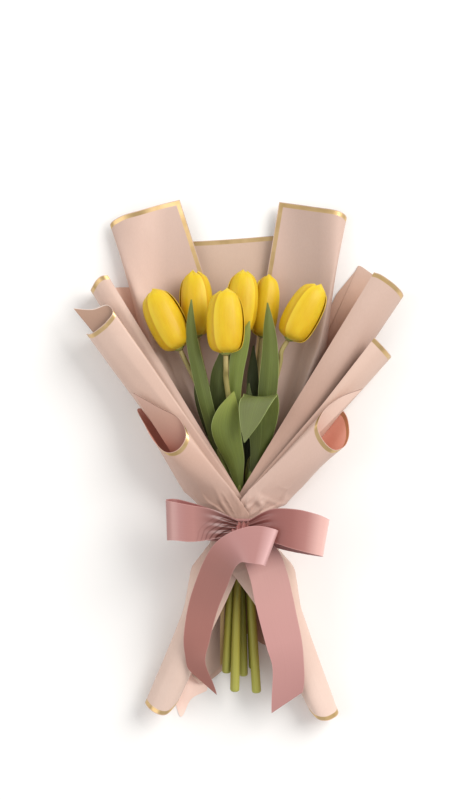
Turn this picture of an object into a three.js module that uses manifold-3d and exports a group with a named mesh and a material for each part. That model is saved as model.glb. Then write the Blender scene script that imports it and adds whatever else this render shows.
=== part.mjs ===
// Bunch of six yellow tulips lying on its back, rolled in sheets of blush paper with a gold
// border and tied at the waist with a satin bow. Millimetres, +Z up, the table at z = 0.
// X runs across the bunch, Y from the cut stems towards the flowers, and the tie is at y = 0.
import * as THREE from 'three';
import { mergeVertices } from 'three/addons/utils/BufferGeometryUtils.js';
import Module from 'manifold-3d';

const wasm = await Module();
wasm.setup();

// Driving dimensions
const PAPER = 0.8;
const LEAF = 0.9;
const PETAL = 0.9;
const SATIN = 1.0;
const STEM_RADIUS = 3.1;
const STEM_THINS = 0.005;
const STEM_THICKENS = 0.0085;
const STEM_SIDES = 8;
const STEM_STEPS = 13;
const WAIST_HEIGHT = 29;
const STEM_RING = 7.5;
const TIE_INNER = 11.0;
const TIE_OUTER = 11.8;
const TIE_WIDTH = 8;
const TIE_Y = -6;
const BAND_TOP = 2;
const BAND_WIDTH = 21;
const FRONT_FLATNESS = 0.35;
const SEAT = 0.3;

// Each layer where the ribbon holds it, from inside out: half its span, then how far it rises
// over the middle of the waist and how far it drops below
const LAYER = {
  backFlap: [15, 12, 12.3],
  backTurn: [15.7, 13, 13],
  back: [16.4, 14, 13.6],
  leftOuter: [17.8, 15, 15],
  rightOuter: [19.2, 17.2, 16.3],
  leftMiddleTongue: [20.6, 19.2, 17.6],
  leftMiddle: [22, 21, 18.9],
  rightMiddle: [23.4, 23.2, 20.2],
  innerTongue: [24.8, 25, 21.4],
  inner: [26.2, 26.8, 22.7],
  outerTongue: [27.6, 28.6, 24.1],
  outer: [29, 30.4, 25.5],
  ribbon: [30.6, 32.3, 27.1],
};

const COLOURS = {
  petal: '#ebc828',
  stem: '#8f9a4a',
  paper: '#eccdbd',
  satin: '#b97f7b',
  rubber: '#c9a27a',
};

// Geometry helpers

function vector([x, y, z]) {
  return new THREE.Vector3(x, y, z);
}

function smoothLine(points) {
  return new THREE.CatmullRomCurve3(points.map(vector), false, 'catmullrom', 0.5);
}

// A thin closed slab about a surface given by place(u, v), both running from 0 to 1.
function slab(place, across, along, thickness) {
  const face = new THREE.PlaneGeometry(1, 1, across, along);
  const spots = face.attributes.position;
  for (let i = 0; i < spots.count; i += 1) {
    const point = place(spots.getX(i) + 0.5, 0.5 - spots.getY(i));
    spots.setXYZ(i, point.x, point.y, point.z);
  }
  face.computeVertexNormals();
  const normals = face.attributes.normal;
  const front = [];
  const back = [];
  for (let i = 0; i < spots.count; i += 1) {
    const point = new THREE.Vector3().fromBufferAttribute(spots, i);
    const offset = new THREE.Vector3().fromBufferAttribute(normals, i).multiplyScalar(thickness / 2);
    front.push(...point.clone().add(offset));
    back.push(...point.clone().sub(offset));
  }
  const triangles = Array.from(face.index.array);
  const faces = [...triangles];
  for (let i = 0; i < triangles.length; i += 3) {
    const [a, b, c] = triangles.slice(i, i + 3);
    faces.push(a + spots.count, c + spots.count, b + spots.count);
  }
  const rim = rimOf(across, along);
  rim.forEach((a, i) => {
    const b = rim[(i + 1) % rim.length];
    faces.push(b, a, a + spots.count);
    faces.push(b, a + spots.count, b + spots.count);
  });
  const solid = new THREE.BufferGeometry();
  solid.setAttribute('position', new THREE.Float32BufferAttribute([...front, ...back], 3));
  solid.setIndex(faces);
  return solid;
}

// The border of a plane's grid, walked anticlockwise as its front shows it.
function rimOf(across, along) {
  const width = across + 1;
  const last = along * width;
  const rim = [];
  for (let j = 0; j < along; j += 1) rim.push(j * width);
  for (let i = 0; i < across; i += 1) rim.push(last + i);
  for (let j = along; j > 0; j -= 1) rim.push(j * width + across);
  for (let i = across; i > 0; i -= 1) rim.push(i);
  return rim;
}

// A sheet ruled straight from one section line to the next, flat where it meets the table.
function sheet(sections, perPoint, perSpan, thickness = PAPER) {
  const lines = sections.map(smoothLine);
  const spans = lines.length - 1;
  const place = (u, v) => {
    const span = Math.min(Math.floor(v * spans + 1e-6), spans - 1);
    const point = lines[span].getPoint(u).lerp(lines[span + 1].getPoint(u), v * spans - span);
    point.z = Math.max(point.z, thickness / 2);
    return point;
  };
  return slab(place, perPoint * (sections[0].length - 1), perSpan * spans, thickness);
}

// Points on the oval that a layer takes at the waist, at the given y and angles in degrees. Its
// front is flattened, so that layers which lap there lie flat on each other.
function oval([span, rise, drop], y, angles) {
  return angles.map((angle) => {
    const turn = THREE.MathUtils.degToRad(angle);
    const up = Math.sin(turn);
    const height = up > 0 ? rise * up ** FRONT_FLATNESS : drop * up;
    return [span * Math.cos(turn), y, WAIST_HEIGHT + height];
  });
}

function evenly(from, to, count) {
  return Array.from({ length: count }, (_, i) => from + ((to - from) * i) / (count - 1));
}

// A roll's section at the waist: its outer turn, then the tongue that lies inside it.
function rolledOval(outer, tongue, y, from, to) {
  const back = to < from ? 1 : -1;
  const inside = [6, 16, 28].map((step) => to + back * step);
  return [...oval(outer, y, evenly(from, to, 10)), ...oval(tongue, y, inside)];
}

// A long blade through stations [x, y, z, half width, turn, tilt]. The turn is the angle of its
// width from +X in plan and the tilt lifts that width's end, both in degrees.
function blade(stations, cup, across, along, thickness) {
  const line = smoothLine(stations.map((station) => station.slice(0, 3)));
  const widths = smoothLine(stations.map((s) => [s[3], s[4] ?? 0, s[5] ?? 0]));
  const place = (u, v) => {
    const [half, turn, tilt] = widths.getPoint(v).toArray();
    const side = new THREE.Vector3(1, 0, 0)
      .applyAxisAngle(new THREE.Vector3(0, 1, 0), -THREE.MathUtils.degToRad(tilt))
      .applyAxisAngle(new THREE.Vector3(0, 0, 1), THREE.MathUtils.degToRad(turn));
    const ahead = line.getTangent(v);
    const out = side.clone().cross(ahead).normalize();
    const w = 2 * u - 1;
    return line.getPoint(v)
      .addScaledVector(side, w * half)
      .addScaledVector(out, cup * half * w * w);
  };
  return slab(place, across, along, thickness);
}

// A closed tube along a path, its radius a function of the point that it has reached.
function tube(path, radiusAt, sides, steps) {
  const shape = new THREE.CylinderGeometry(1, 1, 1, sides, steps);
  const frames = path.computeFrenetFrames(steps);
  const spots = shape.attributes.position;
  for (let i = 0; i < spots.count; i += 1) {
    const step = Math.round((0.5 - spots.getY(i)) * steps);
    const centre = path.getPointAt(step / steps);
    const radius = radiusAt(centre);
    const point = centre
      .addScaledVector(frames.normals[step], spots.getX(i) * radius)
      .addScaledVector(frames.binormals[step], spots.getZ(i) * radius);
    spots.setXYZ(i, point.x, point.y, point.z);
  }
  return shape;
}

function toSolid(geometry) {
  const bare = geometry.clone();
  bare.deleteAttribute('normal');
  bare.deleteAttribute('uv');
  const merged = mergeVertices(bare, 1e-5);
  return new wasm.Manifold(new wasm.Mesh({
    numProp: 3,
    vertProperties: new Float32Array(merged.attributes.position.array),
    triVerts: new Uint32Array(merged.index.array),
  }));
}

// Pieces grown together as one body: a hollow that the join seals is filled, a scrap is dropped.
function joined(geometries) {
  const whole = geometries.map(toSolid).reduce((sum, next) => sum.add(next));
  const body = whole.decompose().reduce((a, b) => (a.volume() > b.volume() ? a : b));
  const mesh = body.getMesh();
  const geometry = new THREE.BufferGeometry();
  geometry.setAttribute('position', new THREE.BufferAttribute(mesh.vertProperties, 3));
  geometry.setIndex(new THREE.BufferAttribute(mesh.triVerts, 1));
  geometry.computeVertexNormals();
  return geometry;
}

// Tulip blooms: three inner and three outer petals, each lapping the next

const PROFILE = smoothLine([
  [0.26, 0, 52], [0.74, 0.06, 61], [0.93, 0.18, 66], [1, 0.38, 68],
  [0.98, 0.58, 67], [0.89, 0.76, 63], [0.68, 0.9, 52], [0.27, 1, 15],
]);

function petal(bloom, middle, gap, lap, across, along) {
  const place = (u, v) => {
    const [share, rise, reach] = PROFILE.getPoint(1 - v).toArray();
    const w = 2 * u - 1;
    const angle = THREE.MathUtils.degToRad(middle + w * reach);
    const radius = share * bloom.radius + gap + lap * w;
    const height = bloom.height * (rise - 0.02 * w * w * rise);
    return new THREE.Vector3(
      radius * Math.cos(angle),
      radius * Math.sin(angle) * bloom.flatness,
      height,
    );
  };
  return slab(place, across, along, PETAL);
}

function bloomShape(bloom) {
  const petals = [0, 1, 2].flatMap((i) => [
    petal(bloom, bloom.facing + 120 * i, -0.3, 0.75 * bloom.lap, 4, 6),
    petal({ ...bloom, height: bloom.height - 1.5 }, bloom.facing + 60 + 120 * i, -2.6, 0.3, 4, 4),
  ]);
  const heart = new THREE.SphereGeometry(0.3 * bloom.radius, 6, 4);
  heart.scale(1, 1, 0.7);
  heart.translate(0, 0, 1.2);
  return joined([heart, ...petals]);
}

// Each bloom: where its base is, how far it leans to the right, its size, and its petals. The
// front petal faces `facing` degrees, and `lap` says which of its edges lies on top.
const BLOOMS = [
  { base: [-57.5, 163, 46], lean: -26, height: 62, radius: 17.3, flatness: 1, facing: 300, lap: -1 },
  { base: [-40, 176, 30], lean: -3, height: 62, radius: 15.8, flatness: 0.95, facing: 240, lap: 1 },
  { base: [-13.5, 158, 70], lean: -1, height: 61, radius: 17.3, flatness: 0.86, facing: 302, lap: -1 },
  { base: [-1, 178, 42], lean: 5, height: 60, radius: 15.5, flatness: 0.86, facing: 252, lap: 1 },
  { base: [21, 175, 23.5], lean: 6, height: 60, radius: 13, flatness: 0.95, facing: 275, lap: 1 },
  { base: [46, 172, 50], lean: 29, height: 60, radius: 16.5, flatness: 1, facing: 305, lap: -1 },
];

function bloomTurn({ lean }) {
  const upright = new THREE.Matrix4().makeRotationX(-Math.PI / 2);
  const leaning = new THREE.Matrix4().makeRotationZ(-THREE.MathUtils.degToRad(lean));
  return leaning.multiply(upright);
}

// Stems with their leaves. A stem runs from its bloom through its place in the ring at the waist.
const STEMS = [
  {
    ringAngle: 150,
    upper: [[-30, 92, 38], [-39, 124, 41]],
    lower: [[-10, -80, 29], [-13, -148, 24]],
    leaves: [[
      [-15, 48, 35, 3], [-21, 66, 38, 5], [-27, 90, 44, 6], [-33, 114, 51, 6.5],
      [-39, 140, 54, 6.5], [-45, 168, 56, 5.5], [-46.5, 190, 57, 3.5], [-46, 209, 57, 0.8],
    ]],
  },
  {
    ringAngle: 210,
    upper: [[-25, 100, 26]],
    lower: [[-8, -80, 20], [-9, -140, 13]],
    leaves: [
      [[-12, 48, 25.5, 3], [-22, 72, 30, 6], [-31, 96, 33, 7], [-38, 118, 35, 5.5], [-42, 140, 36, 0.8]],
      [
        [-14, 56, 26, 3], [-17, 84, 33, 5.5], [-19.5, 110, 38, 7], [-18, 138, 41, 7],
        [-14, 160, 42, 5], [-11, 178, 42, 0.8],
      ],
    ],
  },
  {
    ringAngle: 90,
    upper: [[-7, 90, 43], [-13, 132, 58]],
    lower: [[-3, -80, 34], [-5, -165, 30]],
    leaves: [
      [
        [0, 24, 38, 3], [-2, 40, 41, 5], [-5.5, 57, 44.5, 9.5], [-11, 74, 50, 13],
        [-13.5, 90, 54, 13.5], [-11, 106, 58, 9.5], [-6, 122, 60, 0.8],
      ],
      [
        [-4, 62, 40, 3], [-3, 88, 44, 4.5], [-4.5, 114, 49, 4.8], [-3.5, 140, 52.5, 6.9],
        [-0.2, 160, 55.5, 7.6], [5, 176, 58, 4.6], [9, 188.5, 59, 0.8],
      ],
    ],
  },
  {
    ringAngle: 270,
    upper: [[0, 100, 26]],
    lower: [[2, -80, 18], [3.5, -152, 15]],
    leaves: [[[0, 50, 23, 3], [1, 72, 30, 4], [5, 92, 36, 4.5], [8, 112, 39, 4], [8.5, 130, 40, 0.8]]],
  },
  {
    ringAngle: 330,
    upper: [[13, 100, 22]],
    lower: [[10, -80, 20], [13, -145, 13]],
    leaves: [[[8, 48, 25, 3], [10, 80, 28, 5], [12, 110, 31, 6], [12.5, 140, 32, 5], [13, 166, 32, 0.8]]],
  },
  {
    ringAngle: 30,
    upper: [[22, 90, 35], [37, 145, 44]],
    lower: [[11, -80, 29], [16, -167, 24]],
    leaves: [
      [
        [10, 40, 34, 3], [16, 66, 37, 5], [23, 95, 43, 7.5], [27, 130, 49, 9],
        [28, 160, 53, 9], [27, 184, 56, 6], [26, 206, 57, 0.8],
      ],
      [
        [9.5, 28, 33.5, 3], [15, 50, 37, 5.5], [19.5, 72, 42, 9.5], [20.5, 92, 48, 14.5],
        [21, 107, 55, 16], [19, 117, 62, 16], [14, 110, 68, 15], [9, 92, 70, 9], [4, 74, 70, 0.8],
      ],
    ],
  },
];

const WAIST_RUN = 25;
const LEAF_CUP = 0.18;

// A stem is thinnest under its bloom and thickens towards its cut end
function stemRadius({ y }) {
  return STEM_RADIUS - y * (y > 0 ? STEM_THINS : STEM_THICKENS);
}

function stemShape(stem, bloom) {
  const turn = THREE.MathUtils.degToRad(stem.ringAngle);
  const x = STEM_RING * Math.cos(turn);
  const z = WAIST_HEIGHT + STEM_RING * Math.sin(turn);
  const lean = THREE.MathUtils.degToRad(bloom.lean);
  const drop = 0.21 * bloom.radius - 1.2 + SEAT;
  const [bx, by, bz] = bloom.base;
  const top = [bx - drop * Math.sin(lean), by - drop * Math.cos(lean), bz];
  const neck = [bx - 14 * Math.sin(lean), by - 14 * Math.cos(lean), bz - 1];
  const path = smoothLine([
    top, neck, ...[...stem.upper].reverse(),
    [x, WAIST_RUN, z], [x, 0, z], [x, -WAIST_RUN, z], ...stem.lower,
  ]);
  const stalk = tube(path, stemRadius, STEM_SIDES, STEM_STEPS);
  const leaves = stem.leaves.map((stations) => blade(stations, -LEAF_CUP, 4, 8, LEAF));
  return joined([stalk, ...leaves]);
}

function stemTie() {
  const outline = new THREE.Shape().absarc(0, 0, TIE_OUTER, 0, 2 * Math.PI, false);
  outline.holes.push(new THREE.Path().absarc(0, 0, TIE_INNER, 0, 2 * Math.PI, true));
  const band = new THREE.ExtrudeGeometry(outline, {
    depth: TIE_WIDTH, bevelEnabled: false, curveSegments: 12,
  });
  band.rotateX(Math.PI / 2);
  band.translate(0, TIE_Y, WAIST_HEIGHT);
  return band;
}

// Paper sheets, each as section lines from its upper edge down to its lower end

function backSheet() {
  const top = [
    [-58, 307, 14], [-77, 302, 18], [-97, 296, 21], [-114, 291, 18],
    [-125, 283, 10], [-114, 274, 2], [-80, 268, 0.4], [-43, 268, 0.4], [-8, 270, 0.4],
    [30, 273, 0.4], [65, 276, 0.4], [92, 281, 2],
    [103, 289, 9], [95, 296, 17], [70, 300, 18], [38, 305, 13],
  ];
  const middle = [
    [-13, 167, 5], [-32, 165, 5], [-56, 163, 8], [-71, 162, 18],
    [-82, 162, 30], [-91, 160, 17], [-68, 158, 5.5], [-38, 158, 0.4], [-6, 158, 0.4],
    [27, 158, 0.4], [57, 158, 5], [82, 160, 17],
    [76, 165, 30], [64, 166, 18], [50, 167, 7], [15, 167, 5],
  ];
  const waist = (y) => [
    ...oval(LAYER.backFlap, y, [240, 224, 208, 192]),
    ...oval(LAYER.backTurn, y, [172]),
    ...oval(LAYER.back, y, [190, 216, 243, 270, 297, 324, 350]),
    ...oval(LAYER.backTurn, y, [368]),
    ...oval(LAYER.backFlap, y, [348, 332, 316]),
  ];
  const skirt = [
    [-14, -84, 11], [-22, -84, 11], [-30, -84, 13], [-36, -84, 18],
    [-39, -84, 25], [-40, -84, 15], [-32, -84, 8], [-18, -84, 6], [0, -84, 6],
    [18, -84, 6], [34, -84, 8], [43, -84, 15],
    [43, -84, 25], [40, -84, 18], [34, -84, 13], [26, -84, 11],
  ];
  const end = [
    [-16, -140, 6], [-26, -150, 6], [-34, -155, 7], [-41, -152, 11],
    [-44, -148, 17], [-46, -152, 9], [-38, -160, 4], [-28, -157, 3], [-12, -142, 3],
    [4, -113, 3.5], [22, -122, 4], [42, -128, 9],
    [46, -126, 19], [44, -125, 13], [38, -123, 10], [30, -121, 9],
  ];
  return sheet([top, middle, waist(8), waist(-20), skirt, end], 2, 1);
}

function leftOuterSheet() {
  const top = [
    [-82, 222, 0.8], [-100, 223, 0.8], [-118, 223, 2], [-133, 221, 7], [-141, 219, 16],
    [-143, 219, 26], [-141, 222, 35], [-137, 228, 40], [-132, 232, 42], [-126, 233, 41],
  ];
  const middle = [
    [-62, 150, 0.6], [-73, 150, 1], [-85, 150, 5], [-94, 150, 13], [-99, 150, 23],
    [-99, 150, 32], [-96, 151, 39], [-91, 152, 42.5], [-85, 154, 43], [-79, 156, 41.5],
  ];
  const waist = (y) => oval(LAYER.leftOuter, y, evenly(250, 55, 10));
  return sheet([top, middle, waist(8), waist(-6)], 2, 1);
}

function rightOuterSheet() {
  const top = [
    [94, 217, 0.8], [112, 239, 0.8], [116, 244, 0.8],
    [127, 237, 1], [141, 228, 4], [152, 219, 14], [156, 213, 26],
    [155, 216, 37], [149, 222, 46], [141, 228, 51], [133, 233, 52], [127, 235, 51],
  ];
  const waist = (y) => oval(LAYER.rightOuter, y, evenly(260, 485, 12));
  return sheet([top, waist(8), waist(-6)], 2, 1);
}

function leftMiddleSheet() {
  const top = [
    [-104, 168, 0.8], [-117, 170, 0.8], [-130, 172, 4], [-141, 175, 13], [-146, 177, 26],
    [-146, 177, 40], [-141, 177, 50], [-133, 182, 57], [-126, 188, 61], [-120, 197, 61],
    [-126, 204, 57], [-140, 200, 53], [-158, 201, 50],
  ];
  const waist = (y) => rolledOval(LAYER.leftMiddle, LAYER.leftMiddleTongue, y, 255, 60);
  return sheet([top, waist(8), waist(-6)], 2, 1);
}

function rightMiddleSheet() {
  const top = [
    [104, 146, 0.6], [118, 149, 0.6], [131, 151, 4], [140, 153, 13], [144, 154, 25],
    [144, 156, 36], [141, 159, 46], [136, 164, 54], [131, 169, 57], [127, 173, 57],
  ];
  const middle = [
    [71, 101, 3.5], [80, 100, 4.5], [88, 100, 8], [93, 100, 15], [95, 100, 26],
    [94, 101, 37], [90, 102, 46], [85, 104, 52], [81, 107, 55], [78, 110, 55.5],
  ];
  const waist = (y) => oval(LAYER.rightMiddle, y, evenly(285, 475, 10));
  return sheet([top, middle, waist(8), waist(-6)], 2, 1);
}

function leftFrontSheet() {
  const top = [
    [-66, 104, 0.6], [-78, 103, 0.6], [-89, 104, 4], [-97, 106, 14], [-98, 103, 28],
    [-92, 93, 44], [-82, 76, 58], [-70, 65, 66], [-58, 68, 70], [-51, 81, 70],
    [-58, 97, 65], [-78, 108, 61], [-101, 121, 57],
  ];
  const shoulder = [
    [-10, 30, 3], [-24, 30, 3], [-38, 30, 5], [-50, 30, 12], [-55, 29, 24],
    [-52, 28, 38], [-43, 27, 50], [-31, 27, 58], [-18, 27, 62], [-7, 28, 63],
    [-14, 29, 61.5], [-30, 30, 58], [-44, 31, 50],
  ];
  const hip = [
    [-6, -46, 3], [-18, -46, 2.5], [-30, -46, 4], [-40, -46, 10], [-46, -46, 20],
    [-45, -46, 31], [-38, -46, 41], [-26, -46, 48], [-12, -46, 52], [0, -46, 53],
    [-3, -45, 50.5], [-9, -45, 49.5], [-16, -45, 49],
  ];
  const skirt = [
    [-14, -86, 0.8], [-26, -86, 0.4], [-38, -86, 1], [-48, -86, 7], [-53, -85, 18],
    [-52, -84, 29], [-46, -83, 38], [-36, -82, 44], [-25, -81, 46], [-15, -80, 45],
    [-18, -80, 42], [-24, -80, 41], [-31, -81, 41],
  ];
  const hem = [
    [-32, -168, 0.4], [-47, -176, 0.4], [-57, -193, 0.4], [-66, -174, 0.6], [-84, -182, 5],
    [-91, -177, 15], [-88, -181, 25], [-80, -186, 31], [-71, -187, 31], [-63, -180, 26],
    [-58, -172, 18], [-62, -168, 12], [-69, -168, 10],
  ];
  return sheet([
    top,
    shoulder,
    rolledOval(LAYER.outer, LAYER.outerTongue, 4, 262, 70),
    rolledOval(LAYER.outer, LAYER.outerTongue, -8, 262, 93),
    rolledOval(LAYER.inner, LAYER.innerTongue, -20, 262, 97),
    hip,
    skirt,
    hem,
  ], 2, 1);
}

function rightFrontSheet() {
  const top = [
    [70, 106, 0.4], [82, 107, 0.4], [94, 106, 3], [101, 102, 12], [104, 93, 25],
    [104, 80, 38], [99, 70, 49], [89, 67, 59], [79, 75, 66], [73, 89, 69],
    [79, 104, 65], [95, 117, 61], [116, 125, 57],
  ];
  const shoulder = [
    [10, 30, 4], [24, 30, 3.5], [39, 30, 5], [52, 30, 12], [58, 29, 23],
    [56, 28, 36], [47, 27, 48], [35, 27, 55], [21, 27, 58], [8, 28, 59],
    [11, 29, 56.5], [17, 30, 56], [24, 31, 55.5],
  ];
  const hip = [
    [8, -46, 3.5], [21, -46, 2.5], [35, -46, 4], [46, -46, 10], [52, -46, 20],
    [51, -46, 32], [43, -46, 43], [29, -46, 51], [12, -46, 56], [-9, -46, 58],
    [-5, -45, 55.5], [2, -45, 55], [10, -45, 54.5],
  ];
  const skirt = [
    [12, -86, 1.5], [26, -86, 1], [40, -86, 2], [52, -86, 8], [58, -85, 18],
    [57, -84, 29], [50, -83, 39], [39, -82, 45], [27, -81, 47], [15, -80, 46],
    [18, -80, 43], [24, -80, 42], [31, -81, 42],
  ];
  const hem = [
    [42, -150, 0.4], [54, -157, 0.4], [67, -169, 0.4], [80, -188, 1], [91, -193, 6],
    [95, -187, 15], [92, -190, 24], [84, -193, 29], [76, -192, 29], [70, -187, 24],
    [66, -180, 18], [70, -176, 12], [77, -176, 10],
  ];
  return sheet([
    top,
    shoulder,
    rolledOval(LAYER.inner, LAYER.innerTongue, 4, 285, 472),
    rolledOval(LAYER.inner, LAYER.innerTongue, -8, 285, 447),
    rolledOval(LAYER.outer, LAYER.outerTongue, -20, 285, 443),
    hip,
    skirt,
    hem,
  ], 2, 1);
}

// Satin ribbon: a gathered band round the waist, a knot, two loops, a fold over the knot that runs
// on as the left tail, and a right tail, both with slanted ends

const RIBBON = {
  leftLoop: [
    [2, -6, 67, 5, 90], [-20, -2, 67, 11, 92], [-42, 0, 66, 16.5, 92], [-60, 2, 67, 19, 92],
    [-69, 1.5, 75, 19, 92], [-62, 1, 84, 18, 92], [-45, -1, 88, 17, 92], [-24, -2, 84, 13.5, 92],
    [-2, -5, 77, 6, 90],
  ],
  rightLoop: [
    [4, -8, 67, 5, 90], [22, -9, 67, 12, 86], [42, -11, 66, 16, 84], [62, -13, 66, 18, 82],
    [77, -15, 71, 18, 80], [80, -15, 80, 17.5, 80], [70, -11, 88, 18.5, 82], [50, -6, 90, 18.5, 86],
    [28, -3, 86, 15, 90], [8, -6, 78, 7, 90],
  ],
  foldAndLeftTail: [
    [6, -12, 78, 8, 84], [18, -17.5, 87, 14, 77], [26.5, -22, 89.5, 17, 71], [29.3, -24, 93, 17.4, 70],
    [25, -22, 96.5, 17.6, 71], [12, -20, 96.5, 17.5, 82], [-2, -22, 93.5, 15, 104],
    [-12, -28.5, 87.5, 14.5, 131], [-19, -39, 79, 14.5, 148], [-25.5, -55, 68, 14.8, 157.5],
    [-35, -82, 56, 14, 166], [-41, -112, 50, 12.5, 174], [-42, -135, 46, 10, 170, -15],
    [-34, -156, 42, 16, 139],
  ],
  rightTail: [
    [6, -12, 72, 9, 32], [20, -33, 74, 16.5, 26], [27, -52, 68, 17.5, 16], [31.5, -72, 62, 18, 12],
    [36, -92, 57.5, 17.7, 11], [42, -118, 52, 17, 7], [46, -142, 47, 15, 6], [45, -174, 41, 18, 34],
  ],
};

const STEPS_PER_SPAN = 1.5;

function ribbonShape() {
  const round = evenly(-88, 268, 17);
  const band = sheet([
    oval(LAYER.ribbon, BAND_TOP, round), oval(LAYER.ribbon, BAND_TOP - BAND_WIDTH, round),
  ], 2, 1, SATIN);
  const knot = new THREE.SphereGeometry(1, 10, 6);
  knot.scale(13, 9, 10);
  knot.translate(3, -10, WAIST_HEIGHT + LAYER.ribbon[1] + 9.5);
  const strips = Object.values(RIBBON).map((stations) => {
    const steps = Math.round(STEPS_PER_SPAN * (stations.length - 1));
    return blade(stations, 0, 4, steps, SATIN);
  });
  return joined([band, knot, ...strips]);
}

// The bunch

function finish(colour, roughness, metalness = 0) {
  return new THREE.MeshStandardMaterial({ color: colour, roughness, metalness });
}

function named(name, geometry, material) {
  const mesh = new THREE.Mesh(geometry, material);
  mesh.name = name;
  return mesh;
}

const bunch = new THREE.Group();

BLOOMS.forEach((bloom, i) => {
  const flower = named(`tulip_${i + 1}_bloom`, bloomShape(bloom), finish(COLOURS.petal, 0.5));
  flower.applyMatrix4(bloomTurn(bloom));
  flower.position.set(...bloom.base);
  bunch.add(flower);
  bunch.add(named(`tulip_${i + 1}_leafy_stem`, stemShape(STEMS[i], bloom), finish(COLOURS.stem, 0.6)));
});

bunch.add(named('stem_tie', stemTie(), finish(COLOURS.rubber, 0.8)));

const SHEETS = {
  back_sheet: backSheet,
  left_outer_sheet: leftOuterSheet,
  right_outer_sheet: rightOuterSheet,
  left_middle_sheet: leftMiddleSheet,
  right_middle_sheet: rightMiddleSheet,
  left_front_sheet: leftFrontSheet,
  right_front_sheet: rightFrontSheet,
};
Object.entries(SHEETS).forEach(([name, shape]) => {
  bunch.add(named(name, shape(), finish(COLOURS.paper, 0.6)));
});

bunch.add(named('ribbon', ribbonShape(), finish(COLOURS.satin, 0.35)));

// The whole bunch is moved so that the origin lies on the table under the middle of its box
const extent = new THREE.Box3().setFromObject(bunch);
const middle = extent.getCenter(new THREE.Vector3());
bunch.position.set(-middle.x, -middle.y, -extent.min.z);

export default bunch;
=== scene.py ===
"""A bunch of six yellow tulips, rolled in sheets of blush paper with a gold border and tied at the
waist with a satin bow. It lies on its back on a pale table, and the camera looks straight down."""
import math

import bmesh
import bpy
from mathutils import Matrix, Vector, noise


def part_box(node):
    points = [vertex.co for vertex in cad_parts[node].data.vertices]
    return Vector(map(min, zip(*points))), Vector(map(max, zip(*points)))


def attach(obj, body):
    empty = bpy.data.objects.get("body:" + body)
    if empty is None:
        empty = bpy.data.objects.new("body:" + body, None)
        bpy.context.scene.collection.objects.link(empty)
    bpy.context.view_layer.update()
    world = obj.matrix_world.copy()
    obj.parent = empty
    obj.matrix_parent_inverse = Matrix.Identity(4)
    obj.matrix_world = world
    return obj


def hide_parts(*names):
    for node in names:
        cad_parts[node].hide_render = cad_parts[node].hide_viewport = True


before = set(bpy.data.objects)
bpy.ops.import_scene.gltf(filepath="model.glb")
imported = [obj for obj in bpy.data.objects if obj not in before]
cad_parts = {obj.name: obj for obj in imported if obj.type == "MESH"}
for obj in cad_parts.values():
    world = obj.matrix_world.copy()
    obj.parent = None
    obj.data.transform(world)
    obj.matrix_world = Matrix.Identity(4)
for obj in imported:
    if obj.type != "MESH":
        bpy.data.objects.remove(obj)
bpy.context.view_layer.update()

# Sizes are in millimetres, measured from the middle of the waist, with the table at z = 0
MM = 0.001
UP = Vector((0, 0, 1))

# How thick the pieces are
PAPER = 0.35
LEAF = 0.7
PETAL = 0.5
SATIN = 0.35

# The waist, where the tie and the ribbon hold the bunch
TIE_BEHIND_WAIST = 10
FRONT_FLATNESS = 0.35
STEM_RING = 7.5
BAND_TOP = 2
BAND_WIDTH = 21
KNOT_LEVEL = -8

# Levels of the last two section lines of the sheets that end under the ribbon
TIED = (8, -6)

# The gold border with the pale rim outside it, and the distance that stands for no border
GOLD_WIDTH = 4.4
PALE_RIM = 0.5
NO_GOLD = 99.0

# The tongue inside a roll: where it starts, as a share of the sheet's width, and its angles at the
# waist, as degrees back from the roll's edge
TONGUE_FROM = 0.76
TONGUE_STEPS = (6, 16, 28)

# Where painted shade changes: between the hem and the top of the paper, and deep in the bunch
# for the leaves; and how close the satin's painted folds lie
HEM = -200
TOP = 310
DARK_BELOW = 26
LIT_ABOVE = 50
PAINTED_FOLDS_PER_MM = 1.5

tie_low, tie_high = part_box("stem_tie")
WAIST_HEIGHT = (tie_low.z + tie_high.z) / 2 / MM
WAIST = Vector(((tie_low.x + tie_high.x) / 2, (tie_low.y + tie_high.y) / 2 + TIE_BEHIND_WAIST * MM, 0))

# Each layer where the ribbon holds it, from inside out: half its span, then how far it rises
# over the middle of the waist and how far it drops below
LAYER = {
    "back_flap": (15, 12, 12.3),
    "back_turn": (15.7, 13, 13),
    "back": (16.4, 14, 13.6),
    "left_outer": (17.8, 15, 15),
    "right_outer": (19.2, 17.2, 16.3),
    "left_middle_tongue": (20.6, 19.2, 17.6),
    "left_middle": (22, 21, 18.9),
    "right_middle": (23.4, 23.2, 20.2),
    "inner_tongue": (24.8, 25, 21.4),
    "inner": (26.2, 26.8, 22.7),
    "outer_tongue": (27.6, 28.6, 24.1),
    "outer": (29, 30.4, 25.5),
    "ribbon": (30.6, 32.3, 27.1),
}


# Lines and surfaces

def in_frame(point):
    """A point in millimetres from the waist, as a place in the frame."""
    return WAIST + Vector(point) * MM


def smooth_line(points):
    """A smooth line through all the points, as a function of t from 0 to 1."""
    spots = [Vector(point) for point in points]
    spots = [2 * spots[0] - spots[1], *spots, 2 * spots[-1] - spots[-2]]
    spans = len(points) - 1

    def at(t):
        place = min(max(t, 0), 1) * spans
        k = min(int(place), spans - 1)
        s = place - k
        before, start, end, after = spots[k:k + 4]
        lead = (end - before) / 2
        trail = (after - start) / 2
        bend = 2 * start - 2 * end + lead + trail
        swing = 3 * end - 3 * start - 2 * lead - trail
        return bend * s ** 3 + swing * s ** 2 + lead * s + start

    return at


def evenly(first, last, count):
    return [first + (last - first) * i / (count - 1) for i in range(count)]


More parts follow.
